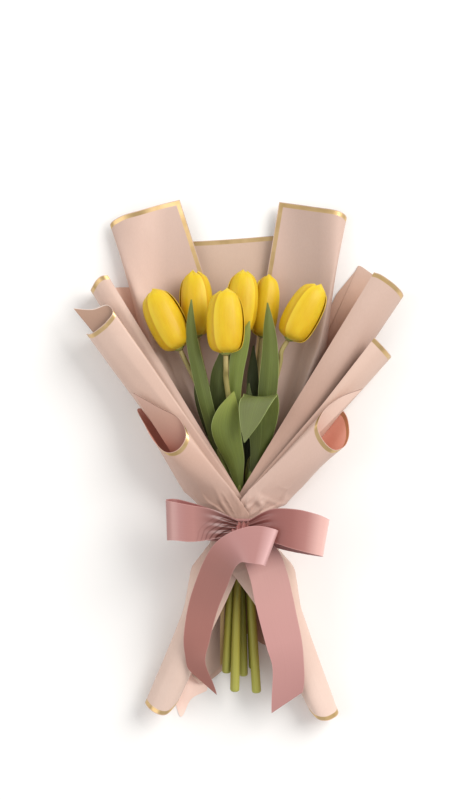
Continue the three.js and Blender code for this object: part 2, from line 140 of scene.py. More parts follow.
def oval(layer, y, angles):
    """Points on the oval that a layer takes at the waist. Its front is flattened where sheets lap."""
    span, rise, drop = LAYER[layer]
    points = []
    for angle in angles:
        turn = math.radians(angle)
        up = math.sin(turn)
        height = rise * up ** FRONT_FLATNESS if up > 0 else drop * up
        points.append((span * math.cos(turn), y, WAIST_HEIGHT + height))
    return points


def rolled_oval(outer, tongue, y, first, last):
    """A roll's section at the waist: its outer turn, then the tongue that lies inside it."""
    back = 1 if last < first else -1
    inside = [last + back * step for step in TONGUE_STEPS]
    return oval(outer, y, evenly(first, last, 10)) + oval(tongue, y, inside)


def ease(low, high, value):
    """0 below low, 1 above high, and smooth between them."""
    t = min(max((value - low) / (high - low), 0), 1)
    return t * t * (3 - 2 * t)


def bump_at(value, middle, spread):
    """A soft hump of height 1 at the middle."""
    return math.exp(-((value - middle) / spread) ** 2)


def surface(bm, place, across, along):
    """Adds a fine grid of quads on the surface place(u, v), with u and v as its UV map, and
    returns its rows of vertices."""
    if not bm.loops.layers.uv:
        bm.loops.layers.uv.new("UVMap")
    made = bmesh.ops.create_grid(bm, x_segments=across, y_segments=along, size=0.5, calc_uvs=True)
    rows = [[None] * (across + 1) for _ in range(along + 1)]
    for vert in made["verts"]:
        i = round((vert.co.x + 0.5) * across)
        j = round((vert.co.y + 0.5) * along)
        rows[j][i] = vert
        vert.co = in_frame(place(i / across, j / along))
    return rows


def turn_faces(bm, rows, upward=False):
    """Turns all faces over if the normals in the rows, taken together, point towards the middle of
    their row, or down where they should point upward."""
    bm.normal_update()
    total = 0.0
    for row in rows:
        centre = sum((vert.co for vert in row), Vector((0, 0, 0))) / len(row)
        total += sum(vert.normal.dot(UP if upward else vert.co - centre) for vert in row)
    if total < 0:
        bmesh.ops.reverse_faces(bm, faces=bm.faces)
        bm.normal_update()


def close_seams(bm):
    bmesh.ops.remove_doubles(bm, verts=bm.verts, dist=1e-6)


def sharpen_rims(bm):
    for edge in bm.edges:
        edge.smooth = not edge.is_boundary


def new_object(name, data):
    made = bpy.data.objects.new(name, data)
    bpy.context.scene.collection.objects.link(made)
    return made


def mesh_object(name, bm, finish):
    mesh = bpy.data.meshes.new(name)
    bm.to_mesh(mesh)
    bm.free()
    mesh.materials.append(finish)
    return new_object(name, mesh)


def add_piece(name, bm, finish, node, thickness=0.0, inside=None):
    """Turns a mesh in hand into a finished piece that stands for a node of the frame. A piece with
    a thickness may have another finish on its inner side."""
    piece = mesh_object(name, bm, finish)
    for polygon in piece.data.polygons:
        polygon.use_smooth = True
    if thickness:
        wall = piece.modifiers.new("wall", "SOLIDIFY")
        wall.thickness = thickness * MM
        wall.offset = 0
        if inside:
            piece.data.materials.append(inside)
            wall.material_offset = 1
    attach(piece, "root")
    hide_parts(node)
    return piece


# Finishes

def shader_node(finish, kind, inputs=None, **settings):
    """Adds a shader node whose inputs are numbers, colours or other nodes' outputs."""
    tree = finish.node_tree
    made = tree.nodes.new("ShaderNode" + kind)
    for key, value in settings.items():
        setattr(made, key, value)
    for key, value in (inputs or {}).items():
        if isinstance(value, bpy.types.NodeSocket):
            tree.links.new(value, made.inputs[key])
        else:
            made.inputs[key].default_value = value
    return made


def mixed(finish, factor, first, second, blend="MIX"):
    """The colour between two colours, which may be shades or other nodes' outputs."""
    inputs = {0: factor, 6: as_colour(first), 7: as_colour(second)}
    return shader_node(finish, "Mix", inputs, data_type="RGBA", blend_type=blend).outputs[2]


def as_colour(shade):
    return shade if isinstance(shade, bpy.types.NodeSocket) else (*shade, 1)


def spread(finish, value, low, high, to_low=0.0, to_high=1.0):
    """A value moved from one range to another, and held inside it."""
    inputs = {"Value": value, "From Min": low, "From Max": high, "To Min": to_low, "To Max": to_high}
    return shader_node(finish, "MapRange", inputs).outputs[0]


def tinted(finish, base, shade, value, low, high, most=1.0, blend="MIX"):
    """The base colour, with a share of a shade that grows as the value goes from low to high."""
    return mixed(finish, spread(finish, value, low, high, 0, most), base, shade, blend)


def worked(finish, operation, first, second=0.0, third=0.0):
    """The result of a calculation on numbers or other nodes' outputs."""
    inputs = {0: first, 1: second, 2: third}
    return shader_node(finish, "Math", inputs, operation=operation).outputs[0]


def off_middle(finish, across):
    """0 along the middle of a piece and 1 at both its long edges."""
    return worked(finish, "ABSOLUTE", worked(finish, "MULTIPLY_ADD", across, 2.0, -1.0))


def grain(finish, coordinates, scale, stretch=(1, 1, 1), detail=3.0):
    """Noise from 0 to 1 over stretched coordinates."""
    mapped = shader_node(finish, "Mapping", {"Vector": coordinates, "Scale": stretch})
    inputs = {"Vector": mapped.outputs[0], "Scale": scale, "Detail": detail}
    return shader_node(finish, "TexNoise", inputs).outputs["Fac"]


def colours(finish, value, stops):
    """A colour ramp with stops of (place, colour)."""
    ramp = shader_node(finish, "ValToRGB", {"Fac": value})
    elements = ramp.color_ramp.elements
    for place, colour in stops[1:-1]:
        elements.new(place).color = (*colour, 1)
    elements[0].position, elements[-1].position = stops[0][0], stops[-1][0]
    elements[0].color = (*stops[0][1], 1)
    elements[-1].color = (*stops[-1][1], 1)
    return ramp.outputs[0]


def new_finish(name, **sockets):
    """A material and its main shader, with the values that are the same all over."""
    finish = bpy.data.materials.new(name)
    finish.use_nodes = True
    shader = finish.node_tree.nodes["Principled BSDF"]
    for key, value in sockets.items():
        shader.inputs[key.replace("_", " ")].default_value = value
    return finish, shader


def connect(finish, output, shader, socket):
    finish.node_tree.links.new(output, shader.inputs[socket])


def dressed(finish, shader, colour, roughness, height, strength, distance):
    """The finish with its colour, its roughness and a fine relief that follows the height."""
    connect(finish, colour, shader, "Base Color")
    connect(finish, roughness, shader, "Roughness")
    inputs = {"Height": height, "Strength": strength, "Distance": distance}
    connect(finish, shader_node(finish, "Bump", inputs).outputs[0], shader, "Normal")
    return finish


def place_in_frame(finish):
    """Where a point lies in the frame, because every piece is at the origin."""
    return shader_node(finish, "TexCoord").outputs["Object"]


def across_and_along(finish):
    """The two parts of a piece's UV map: 0 to 1 across it, and 0 to 1 along it."""
    uv = shader_node(finish, "UVMap", uv_map="UVMap").outputs[0]
    parts = shader_node(finish, "SeparateXYZ", {0: uv})
    return uv, parts.outputs[0], parts.outputs[1]


def up_the_bunch(finish, place, shades):
    """A colour that changes along the bunch, from shades of (millimetres above the waist, colour). On the
    paper it is painted shade.
    """
    y = shader_node(finish, "SeparateXYZ", {0: place}).outputs[1]
    share = spread(finish, y, WAIST.y + HEM * MM, WAIST.y + TOP * MM)
    return colours(finish, share, [((height - HEM) / (TOP - HEM), shade) for height, shade in shades])


def across_the_bunch(finish, place, shade_greys):
    """A grey painted shade that changes across the bunch, from (millimetres right of the waist,
    brightness).
    """
    x = shader_node(finish, "SeparateXYZ", {0: place}).outputs[0]
    left, right = shade_greys[0][0], shade_greys[-1][0]
    share = spread(finish, x, WAIST.x + left * MM, WAIST.x + right * MM)
    stops = [((side - left) / (right - left), (grey, grey, grey)) for side, grey in shade_greys]
    return colours(finish, share, stops)


def paper_finish(name, shades, shade_greys=None, tongue=None, rim=None, gilded=True, **sockets):
    """Waxed paper with faint fibres, in painted shade that changes along the bunch and a grey painted
    shade that dims it across the bunch. A tongue rolled inside a sheet has painted shades and a
    painted rim line of its own. Gilded paper has a border of gold foil a little inside its edge."""
    finish, shader = new_finish(name, Specular_IOR_Level=0.4, **sockets)
    place = place_in_frame(finish)
    _, across, _ = across_and_along(finish)
    side = shader_node(finish, "Attribute", attribute_name="from_side").outputs["Fac"]
    end = shader_node(finish, "Attribute", attribute_name="from_end").outputs["Fac"]
    # Painted shade along the bunch, a grey painted shade across it, and painted shade on the tongue
    base = up_the_bunch(finish, place, shades)
    if shade_greys:
        base = mixed(finish, 1.0, base, across_the_bunch(finish, place, shade_greys), "MULTIPLY")
    on_tongue = spread(finish, across, TONGUE_FROM - 0.01, TONGUE_FROM + 0.01)
    if tongue:
        base = mixed(finish, on_tongue, base, up_the_bunch(finish, place, tongue))
    # The rim line is painted: dark painted shade along the far rim of the front sheets' tongues, and a
    # pale line on the middle roll
    if rim:
        line = worked(finish, "MULTIPLY", on_tongue, spread(finish, end, 0.6, 1.0, 1, 0))
        base = mixed(finish, line, base, rim)
    cloudy = grain(finish, place, 14)
    fibres = grain(finish, place, 900, stretch=(1, 0.35, 1))
    base = tinted(finish, base, (0.93, 0.91, 0.9), cloudy, 0.3, 0.7, blend="MULTIPLY")
    base = tinted(finish, base, (0.95, 0.94, 0.93), fibres, 0.35, 0.65, 0.5, "MULTIPLY")
    waxed = spread(finish, cloudy, 0.3, 0.7, 0.45, 0.55)
    if gilded:
        edge = worked(finish, "MINIMUM", side, end)
        inner = spread(finish, edge, GOLD_WIDTH, GOLD_WIDTH + 0.3, 1, 0)
        outer = spread(finish, edge, PALE_RIM, PALE_RIM + 0.25)
        gold = worked(finish, "MULTIPLY", inner, outer)
        if tongue:
            gold = worked(finish, "MULTIPLY", gold, worked(finish, "SUBTRACT", 1.0, on_tongue))
        foil = grain(finish, place, 60)
        gilt = tinted(finish, (0.56, 0.38, 0.17), (0.7, 0.5, 0.26), foil, 0.3, 0.7)
        base = mixed(finish, gold, base, gilt)
        connect(finish, worked(finish, "MULTIPLY", gold, 0.85), shader, "Metallic")
        leafed = spread(finish, foil, 0.3, 0.7, 0.3, 0.38)
        waxed = shader_node(finish, "Mix", {0: gold, 2: waxed, 3: leafed}).outputs[0]
    return dressed(finish, shader, base, waxed, fibres, 0.1, 0.0002)


def petal_finish():
    """Yellow petals with fine lengthwise streaks. The edge on top has a pale painted highlight, and
    the far side has orange painted shade where the next petal covers it."""
    finish, shader = new_finish(
        "yellow petal", Subsurface_Weight=0.15, Subsurface_Scale=0.003,
        Subsurface_Radius=(1.0, 0.5, 0.05), Specular_IOR_Level=0.35,
    )
    uv, across, along = across_and_along(finish)
    streaks = grain(finish, uv, 1, stretch=(46, 1.6, 1), detail=4)
    patches = grain(finish, uv, 1, stretch=(3, 3, 1))
    body = colours(finish, along, [
        (0.0, (0.5, 0.47, 0.12)), (0.04, (0.63, 0.42, 0.025)), (0.2, (0.66, 0.38, 0.006)),
        (0.65, (0.7, 0.46, 0.009)), (0.92, (0.75, 0.54, 0.015)), (1.0, (0.78, 0.61, 0.06)),
    ])
    body = tinted(finish, body, (0.62, 0.36, 0.004), streaks, 0.35, 0.65, 0.4)
    body = tinted(finish, body, (0.84, 0.64, 0.035), patches, 0.4, 0.75, 0.4)
    # Painted shade where the next petal covers this one, and a painted highlight along the edge on top
    tucked = worked(finish, "ADD", across, spread(finish, patches, 0.3, 0.7, -0.05, 0.05))
    body = tinted(finish, body, (0.62, 0.29, 0.003), tucked, 0.72, 0.93, 0.7)
    body = tinted(finish, body, (0.84, 0.66, 0.05), across, 0.14, 0.0, 0.4)
    silky = spread(finish, streaks, 0.3, 0.7, 0.38, 0.5)
    return dressed(finish, shader, body, silky, streaks, 0.35, 0.0006)


def leaf_finish(name, shades):
    """Waxy green leaf with parallel veins, a pale edge and a bluish bloom in patches, in shades from
    its foot, at 0, to its tip, at 1. It has painted shade deep in the bunch."""
    finish, shader = new_finish(
        name, Subsurface_Weight=0.08, Subsurface_Scale=0.002,
        Subsurface_Radius=(0.5, 1.0, 0.2), Specular_IOR_Level=0.4,
    )
    height = shader_node(finish, "SeparateXYZ", {0: place_in_frame(finish)}).outputs[2]
    uv, across, along = across_and_along(finish)
    veins = grain(finish, uv, 1, stretch=(60, 0.8, 1), detail=2)
    patches = grain(finish, uv, 1, stretch=(2.5, 5, 1))
    green = colours(finish, along, shades)
    green = mixed(finish, 1.0, green, spread(finish, veins, 0.35, 0.65, 0.78, 1.0), "MULTIPLY")
    green = tinted(finish, green, (0.16, 0.2, 0.06), patches, 0.45, 0.75, 0.25)
    edge = off_middle(finish, across)
    green = tinted(finish, green, (0.2, 0.26, 0.06), edge, 0.05, 0.0, 0.3)
    green = tinted(finish, green, (0.34, 0.4, 0.14), edge, 0.95, 0.975, 0.8)
    # Painted shade deep in the bunch, growing from LIT_ABOVE down to DARK_BELOW
    lit, dark = LIT_ABOVE * MM, DARK_BELOW * MM
    green = tinted(finish, green, (0.3, 0.3, 0.24), height, lit, dark, blend="MULTIPLY")
    waxy = spread(finish, patches, 0.3, 0.7, 0.42, 0.55)
    return dressed(finish, shader, green, waxy, veins, 0.4, 0.0005)


def stem_finish():
    """Tulip stem: tan under the bloom, yellow-green further down, with pale cut ends."""
    finish, shader = new_finish(
        "tulip stem", Subsurface_Weight=0.1, Subsurface_Scale=0.002,
        Subsurface_Radius=(0.7, 1.0, 0.2), Specular_IOR_Level=0.4,
    )
    uv, _, along = across_and_along(finish)
    lines = grain(finish, uv, 1, stretch=(14, 3, 1))
    green = colours(finish, along, [
        (0.0, (0.4, 0.31, 0.13)), (0.18, (0.34, 0.28, 0.1)), (0.33, (0.2, 0.24, 0.05)),
        (0.6, (0.26, 0.24, 0.04)), (0.85, (0.33, 0.3, 0.045)), (1.0, (0.4, 0.4, 0.09)),
    ])
    green = tinted(finish, green, (0.2, 0.2, 0.03), lines, 0.35, 0.7, 0.35)
    waxy = spread(finish, lines, 0.3, 0.7, 0.4, 0.55)
    return dressed(finish, shader, green, waxy, lines, 0.25, 0.0004)


def painted_fold_shade(finish, centre, reach):
    """How much painted shade lies in the satin's folds that curve round a point beside the knot, from
    0 to 1; the folds are painted only. They fade with the distance from it, and are gone at the reach."""
    place = place_in_frame(finish)
    spot = (WAIST.x + centre[0] * MM, WAIST.y + centre[1] * MM, 0)
    offset = shader_node(finish, "VectorMath", {0: place, 1: spot}, operation="SUBTRACT").outputs[0]
    flat = shader_node(finish, "VectorMath", {0: offset, 1: (1, 1, 0)}, operation="MULTIPLY").outputs[0]
    away = shader_node(finish, "VectorMath", {0: flat}, operation="LENGTH").outputs["Value"]
    wander = spread(finish, grain(finish, place, 45), 0.3, 0.7, -2.2, 2.2)
    phase = worked(finish, "MULTIPLY_ADD", away, PAINTED_FOLDS_PER_MM / MM, wander)
    folds = spread(finish, worked(finish, "SINE", phase), 0.1, 1.0)
    near = spread(finish, away, 0.4 * reach * MM, reach * MM, 1, 0)
    return worked(finish, "MULTIPLY", folds, near)


def satin_finish(name, shades, fold_shade_round=None):
    """Rose satin with fine threads across it and a soft sheen, with painted highlights and painted
    shade along its length: places from 0 to 1, with a colour each. Satin that is gathered round
    a point has folds of painted shade there."""
    finish, shader = new_finish(
        name, Sheen_Weight=0.2, Sheen_Roughness=0.3, Sheen_Tint=(1.0, 0.8, 0.8, 1),
        Specular_IOR_Level=0.6,
    )
    uv, across, along = across_and_along(finish)
    threads = grain(finish, uv, 1, stretch=(3, 420, 1), detail=2)
    warp = grain(finish, uv, 1, stretch=(160, 2, 1), detail=2)
    rose = colours(finish, along, shades)
    rose = tinted(finish, rose, (0.88, 0.84, 0.84), warp, 0.35, 0.65, 0.3, "MULTIPLY")
    # Painted shade in the folds round the knot, with less gloss there
    if fold_shade_round:
        dark = painted_fold_shade(finish, *fold_shade_round)
        rose = tinted(finish, rose, (0.25, 0.16, 0.15), dark, 0, 1, 0.9, "MULTIPLY")
        connect(finish, spread(finish, dark, 0, 1, 0.6, 0.1), shader, "Specular IOR Level")
        connect(finish, spread(finish, dark, 0, 1, 0.2, 0.0), shader, "Sheen Weight")
    selvedge = off_middle(finish, across)
    rose = tinted(finish, rose, (0.62, 0.34, 0.32), selvedge, 0.955, 0.975, 0.35)
    glossy = spread(finish, threads, 0.3, 0.7, 0.3, 0.38)
    return dressed(finish, shader, rose, glossy, threads, 0.05, 0.0001)


def rubber_finish():
    """Tan rubber band, dusty and finely pitted."""
    finish, shader = new_finish("tan rubber", Specular_IOR_Level=0.3)
    pits = grain(finish, place_in_frame(finish), 700)
    tan = tinted(finish, (0.5, 0.34, 0.19), (0.58, 0.42, 0.26), pits, 0.3, 0.7)
    dusty = spread(finish, pits, 0.3, 0.7, 0.65, 0.85)
    return dressed(finish, shader, tan, dusty, pits, 0.3, 0.0003)


PETALS = petal_finish()
# Lit, half-lit and shaded copies of the leaf: painted light and painted shade
LEAVES = {
    "lit": leaf_finish("leaf in the light", [
        (0.0, (0.14, 0.17, 0.025)), (0.35, (0.15, 0.19, 0.03)), (0.7, (0.2, 0.25, 0.045)),
        (1.0, (0.3, 0.34, 0.06)),
    ]),
    "half_lit": leaf_finish("leaf in half light", [
        (0.0, (0.11, 0.13, 0.017)), (0.35, (0.085, 0.11, 0.014)), (0.7, (0.125, 0.155, 0.023)),
        (1.0, (0.15, 0.185, 0.03)),
    ]),
    "shaded": leaf_finish("leaf in the shade", [
        (0.0, (0.07, 0.085, 0.012)), (0.6, (0.065, 0.09, 0.012)), (1.0, (0.11, 0.14, 0.02)),
    ]),
}
LEAF_UNDERSIDE = leaf_finish("underside of a leaf", [
    (0.0, (0.09, 0.11, 0.025)), (0.5, (0.12, 0.145, 0.035)), (1.0, (0.16, 0.185, 0.06)),
])
STALKS = stem_finish()
RUBBER = rubber_finish()

# BLUSH is the paper's own colour. The other blushes and the shades along the bunch are painted light and
# painted shade: darker and warmer where the bunch is deep, lighter on the open skirt
BLUSH = (0.69, 0.505, 0.42)
SHADED_BLUSH = (0.6, 0.4, 0.32)
LIT_BLUSH = (0.76, 0.58, 0.5)
DEEP_SHADE_BLUSH = (0.28, 0.15, 0.11)
PAPERS = paper_finish("blush paper", [
    (-160, LIT_BLUSH), (-60, BLUSH), (0, SHADED_BLUSH), (70, SHADED_BLUSH), (170, BLUSH), (300, BLUSH),
])
# Painted shadow above the left loop, darkest just above the waist
LEFT_FRONT = paper_finish("left front sheet", [
    (-160, (0.71, 0.54, 0.46)), (-60, BLUSH), (-25, (0.5, 0.33, 0.27)), (12, (0.52, 0.34, 0.27)),
    (35, (0.56, 0.38, 0.31)), (60, SHADED_BLUSH), (170, BLUSH),
])
# Painted shade near the waist on the right front sheet
RIGHT_FRONT = paper_finish("right front sheet", [
    (-160, LIT_BLUSH), (-60, BLUSH), (0, (0.57, 0.39, 0.32)), (30, (0.63, 0.45, 0.38)),
    (170, (0.61, 0.43, 0.36)),
])
# Painted shade on the right outer sheet, darker low down
RIGHT_OUTER = paper_finish("right outer sheet", [
    (0, SHADED_BLUSH), (100, (0.47, 0.3, 0.235)), (170, (0.56, 0.39, 0.32)), (240, (0.6, 0.44, 0.37)),
])
# Painted light and painted shade on the flaps: the left flap lighter, the right flap darker
FLAPS = paper_finish(
    "flaps of the back sheet",
    [(-60, BLUSH), (60, SHADED_BLUSH), (150, (0.78, 0.58, 0.49)), (200, BLUSH), (240, (0.71, 0.52, 0.44))],
    shade_greys=[(-125, 0.85), (-108, 0.93), (-94, 1.0), (-84, 0.97), (-70, 0.84), (-50, 0.78), (38, 0.84),
           (48, 0.74), (57, 0.68), (76, 0.64), (86, 0.72), (96, 0.9), (110, 0.95)],
)
# Painted shade on the inner side of the back sheet, darkest behind the stems near the waist
PANEL_INSIDE = paper_finish("inner side of the back sheet", [
    (-150, (0.62, 0.43, 0.35)), (-100, (0.5, 0.28, 0.2)), (-60, (0.26, 0.12, 0.08)),
    (60, (0.11, 0.06, 0.035)), (120, (0.19, 0.115, 0.075)),
    (155, (0.25, 0.16, 0.11)), (190, (0.4, 0.27, 0.2)), (220, (0.58, 0.43, 0.34)),
    (300, (0.6, 0.44, 0.35)),
])
# Painted shade inside the middle rolls, deepest low down
ROLL_INSIDE = paper_finish(
    "inner side of a roll",
    [(100, DEEP_SHADE_BLUSH), (200, (0.42, 0.26, 0.2)), (240, (0.46, 0.3, 0.24))],
    tongue=[(60, DEEP_SHADE_BLUSH), (175, (0.36, 0.22, 0.16)), (200, (0.46, 0.29, 0.21))],
    rim=(0.8, 0.68, 0.6), gilded=False,
)
# Painted shade inside the left outer sheet, deepest low down
LEFT_OUTER_INSIDE = paper_finish(
    "inner side of the left outer sheet",
    [(100, DEEP_SHADE_BLUSH), (180, (0.5, 0.3, 0.22)), (205, (0.76, 0.52, 0.41))],
    # Painted glow: a faint emission stands for light coming through the thin paper
    gilded=False, Emission_Color=(0.7, 0.36, 0.25, 1), Emission_Strength=0.08,
)
# Painted shade inside the right outer sheet, deepest low down
CORNER_INSIDE = paper_finish(
    "inner side of the right outer sheet",
    [(110, (0.22, 0.09, 0.06)), (165, (0.5, 0.25, 0.17)), (205, (0.6, 0.38, 0.28)),
     (240, (0.58, 0.41, 0.33))],
    gilded=False,
)
# Painted shade inside the left front sheet, darkest at the waist, and on its tongue
LEFT_INSIDE = paper_finish(
    "inner side of the left front sheet",
    [(-150, (0.97, 0.78, 0.69)), (-110, LIT_BLUSH), (0, (0.3, 0.12, 0.09)), (60, (0.5, 0.22, 0.17)),
     (110, (0.7, 0.36, 0.29))],
    tongue=[(-60, BLUSH), (30, (0.2, 0.08, 0.06)), (65, (0.3, 0.13, 0.095)), (100, (0.42, 0.26, 0.2)),
            (120, (0.5, 0.35, 0.29))],
    # Painted glow: a faint emission stands for light coming through the thin paper
    rim=(0.1, 0.04, 0.03), gilded=False, Emission_Color=(0.7, 0.25, 0.18, 1), Emission_Strength=0.1,
)
# Painted light in salmon inside the right front sheet, where light comes through the paper, and painted
# shade at the waist and on its tongue
RIGHT_INSIDE = paper_finish(
    "inner side of the right front sheet",
    [(-60, LIT_BLUSH), (0, (0.7, 0.3, 0.22)), (60, (0.92, 0.48, 0.38)), (100, (0.95, 0.56, 0.46))],
    tongue=[(-60, BLUSH), (30, (0.5, 0.32, 0.26)), (90, (0.58, 0.42, 0.35)), (120, (0.62, 0.48, 0.41))],
    # Painted glow: a faint emission stands for light coming through the thin paper
    rim=(0.12, 0.06, 0.05), Emission_Color=(0.9, 0.35, 0.22, 1), Emission_Strength=0.13,
)
# ROSE is the satin's own colour; the darker rose is painted shade near the knot, and the paler rose a
# painted sheen
ROSE = (0.45, 0.22, 0.205)
SHADED_ROSE = (0.3, 0.1, 0.09)
LIT_ROSE = (0.6, 0.33, 0.3)
# Along each strip, painted highlights where it turns and painted shade near the knot
SATINS = {
    "plain": satin_finish("rose satin", [(0.0, ROSE), (1.0, ROSE)]),
    "knot": satin_finish("satin of the knot", [(0.0, SHADED_ROSE), (1.0, SHADED_ROSE)]),
    "left_loop": satin_finish("satin of the left loop", [
        (0.0, SHADED_ROSE), (0.48, SHADED_ROSE), (0.54, (0.39, 0.18, 0.165)), (0.61, (0.57, 0.32, 0.295)),
        (0.67, (0.43, 0.2, 0.185)), (0.76, (0.4, 0.185, 0.165)), (0.83, (0.26, 0.105, 0.092)),
        (0.91, (0.17, 0.062, 0.053)), (1.0, (0.14, 0.045, 0.038)),
    ], fold_shade_round=((-7.5, -25), 38)),
    "right_loop": satin_finish("satin of the right loop", [
        (0.0, SHADED_ROSE), (0.48, ROSE), (0.55, (0.8, 0.5, 0.45)), (0.64, (0.68, 0.4, 0.36)),
        (0.72, (0.4, 0.175, 0.155)), (0.79, (0.31, 0.115, 0.1)), (0.88, (0.27, 0.09, 0.078)),
        (1.0, (0.22, 0.075, 0.065)),
    ], fold_shade_round=((14, -26), 26)),
    "fold_and_left_tail": satin_finish("satin of the fold and the left tail", [
        (0.0, SHADED_ROSE), (0.24, (0.4, 0.19, 0.18)), (0.29, (0.72, 0.44, 0.43)), (0.36, ROSE),
        (0.48, (0.46, 0.22, 0.205)), (0.6, (0.38, 0.165, 0.14)), (1.0, (0.31, 0.12, 0.095)),
    ]),
    "right_tail": satin_finish("satin of the right tail", [
        (0.0, SHADED_ROSE), (0.25, LIT_ROSE), (0.7, (0.58, 0.3, 0.28)), (1.0, ROSE),
    ]),
}


# Tulips

# Each bloom: where its base is, how far it leans to the right, its size, and its petals. The
# front petal faces `facing` degrees, and `lap` says which of its edges lies on top.
BLOOMS = [
    dict(base=(-57.5, 163, 46), lean=-26, height=62, radius=17.3, flatness=1, facing=300, lap=-1),
    dict(base=(-40, 176, 30), lean=-3, height=62, radius=15.8, flatness=0.95, facing=240, lap=1),
    dict(base=(-13.5, 158, 70), lean=-1, height=61, radius=17.3, flatness=0.86, facing=302, lap=-1),
    dict(base=(-1, 178, 42), lean=5, height=60, radius=15.5, flatness=0.86, facing=252, lap=1),
    dict(base=(21, 175, 23.5), lean=6, height=60, radius=13, flatness=0.95, facing=275, lap=1),
    dict(base=(46, 172, 50), lean=29, height=60, radius=16.5, flatness=1, facing=305, lap=-1),
]

# Share of the bloom's radius, share of its height and half reach in degrees, from base to tip
PETAL_PROFILE = smooth_line([
    (0.26, 0, 52), (0.74, 0.06, 61), (0.93, 0.18, 66), (1, 0.38, 68), (0.98, 0.58, 68),
    (0.89, 0.76, 66), (0.7, 0.9, 60), (0.42, 0.965, 48), (0.2, 1, 12),
])

# How far a petal's ridge and its rolled edges stand out, and how far its surface and its tip waver
RIDGE = 0.35
LIP = 0.3
WAVER = 0.5
TIP_WAVER = 1.2

# The heart: its share of the bloom's radius, how it is squashed, and how far it rises over the base
HEART_SHARE = 0.3
HEART_SQUASH = 0.7
HEART_LIFT = 1.2


def bloom_turn(bloom):
    upright = Matrix.Rotation(-math.pi / 2, 3, "X")
    return Matrix.Rotation(-math.radians(bloom["lean"]), 3, "Z") @ upright


def petal(bloom, middle, gap, lap, short, seed):
    """One petal's surface, from the edge that lies on its neighbour to the edge that is tucked
    under the next: a ridge down its middle, rolled edges, and a tip of its own. It lies a gap
    outside the bloom's radius, its upper edge rises by the lap, and it is cut short."""
    turn = bloom_turn(bloom)
    base = Vector(bloom["base"])

    def place(u, v):
        share, rise, reach = PETAL_PROFILE(v)
        over = 1 - 2 * u
        w = bloom["lap"] * over
        angle = math.radians(middle + w * reach)
        waver = noise.noise(Vector((seed, v * 2.5, w * 1.2)))
        ridge = RIDGE * bump_at(w, 0, 0.16) * ease(0.05, 0.3, v) * (1 - ease(0.8, 1, v))
        lip = LIP * abs(w) ** 6 * ease(0.2, 0.6, v)
        narrow = ease(0.0, 0.3, share)
        radius = share * bloom["radius"] + narrow * (gap + lap * over + ridge + lip + WAVER * waver)
        height = (bloom["height"] - short) * (rise - 0.02 * w * w * rise)
        height += TIP_WAVER * noise.noise(Vector((seed + 7, w * 2.2, 0))) * ease(0.7, 1, v)
        local = Vector((radius * math.cos(angle), radius * math.sin(angle) * bloom["flatness"], height))
        return base + turn @ local

    return place


def add_bloom(number, bloom):
    """Three outer petals, and three inner ones that show between them."""
    bm = bmesh.new()
    rows = []
    for i in range(3):
        middle = bloom["facing"] + 120 * i
        seed = number * 10 + i * 3
        outer = petal(bloom, middle, gap=-0.3, lap=0.9, short=1.2 * i, seed=seed)
        inner = petal(bloom, middle + 60, gap=-2.6, lap=0.3, short=2 + 0.8 * i, seed=seed + 1.5)
        rows += surface(bm, outer, 28, 44) + surface(bm, inner, 20, 30)
    turn_faces(bm, rows)
    sharpen_rims(bm)
    add_piece(f"tulip_{number}_petals", bm, PETALS, f"tulip_{number}_bloom", PETAL)


def add_heart(number, bloom):
    """The pale green seat that the petals grow from, on top of the stem."""
    bm = bmesh.new()
    bm.loops.layers.uv.new("UVMap")
    radius = HEART_SHARE * bloom["radius"]
    bmesh.ops.create_uvsphere(bm, u_segments=24, v_segments=14, radius=radius, calc_uvs=True)
    turn = bloom_turn(bloom)
    base = Vector(bloom["base"])
    for vert in bm.verts:
        local = Vector((vert.co.x, vert.co.y, vert.co.z * HEART_SQUASH + HEART_LIFT))
        vert.co = in_frame(base + turn @ local)
    add_piece(f"tulip_{number}_heart", bm, STALKS, f"tulip_{number}_bloom")


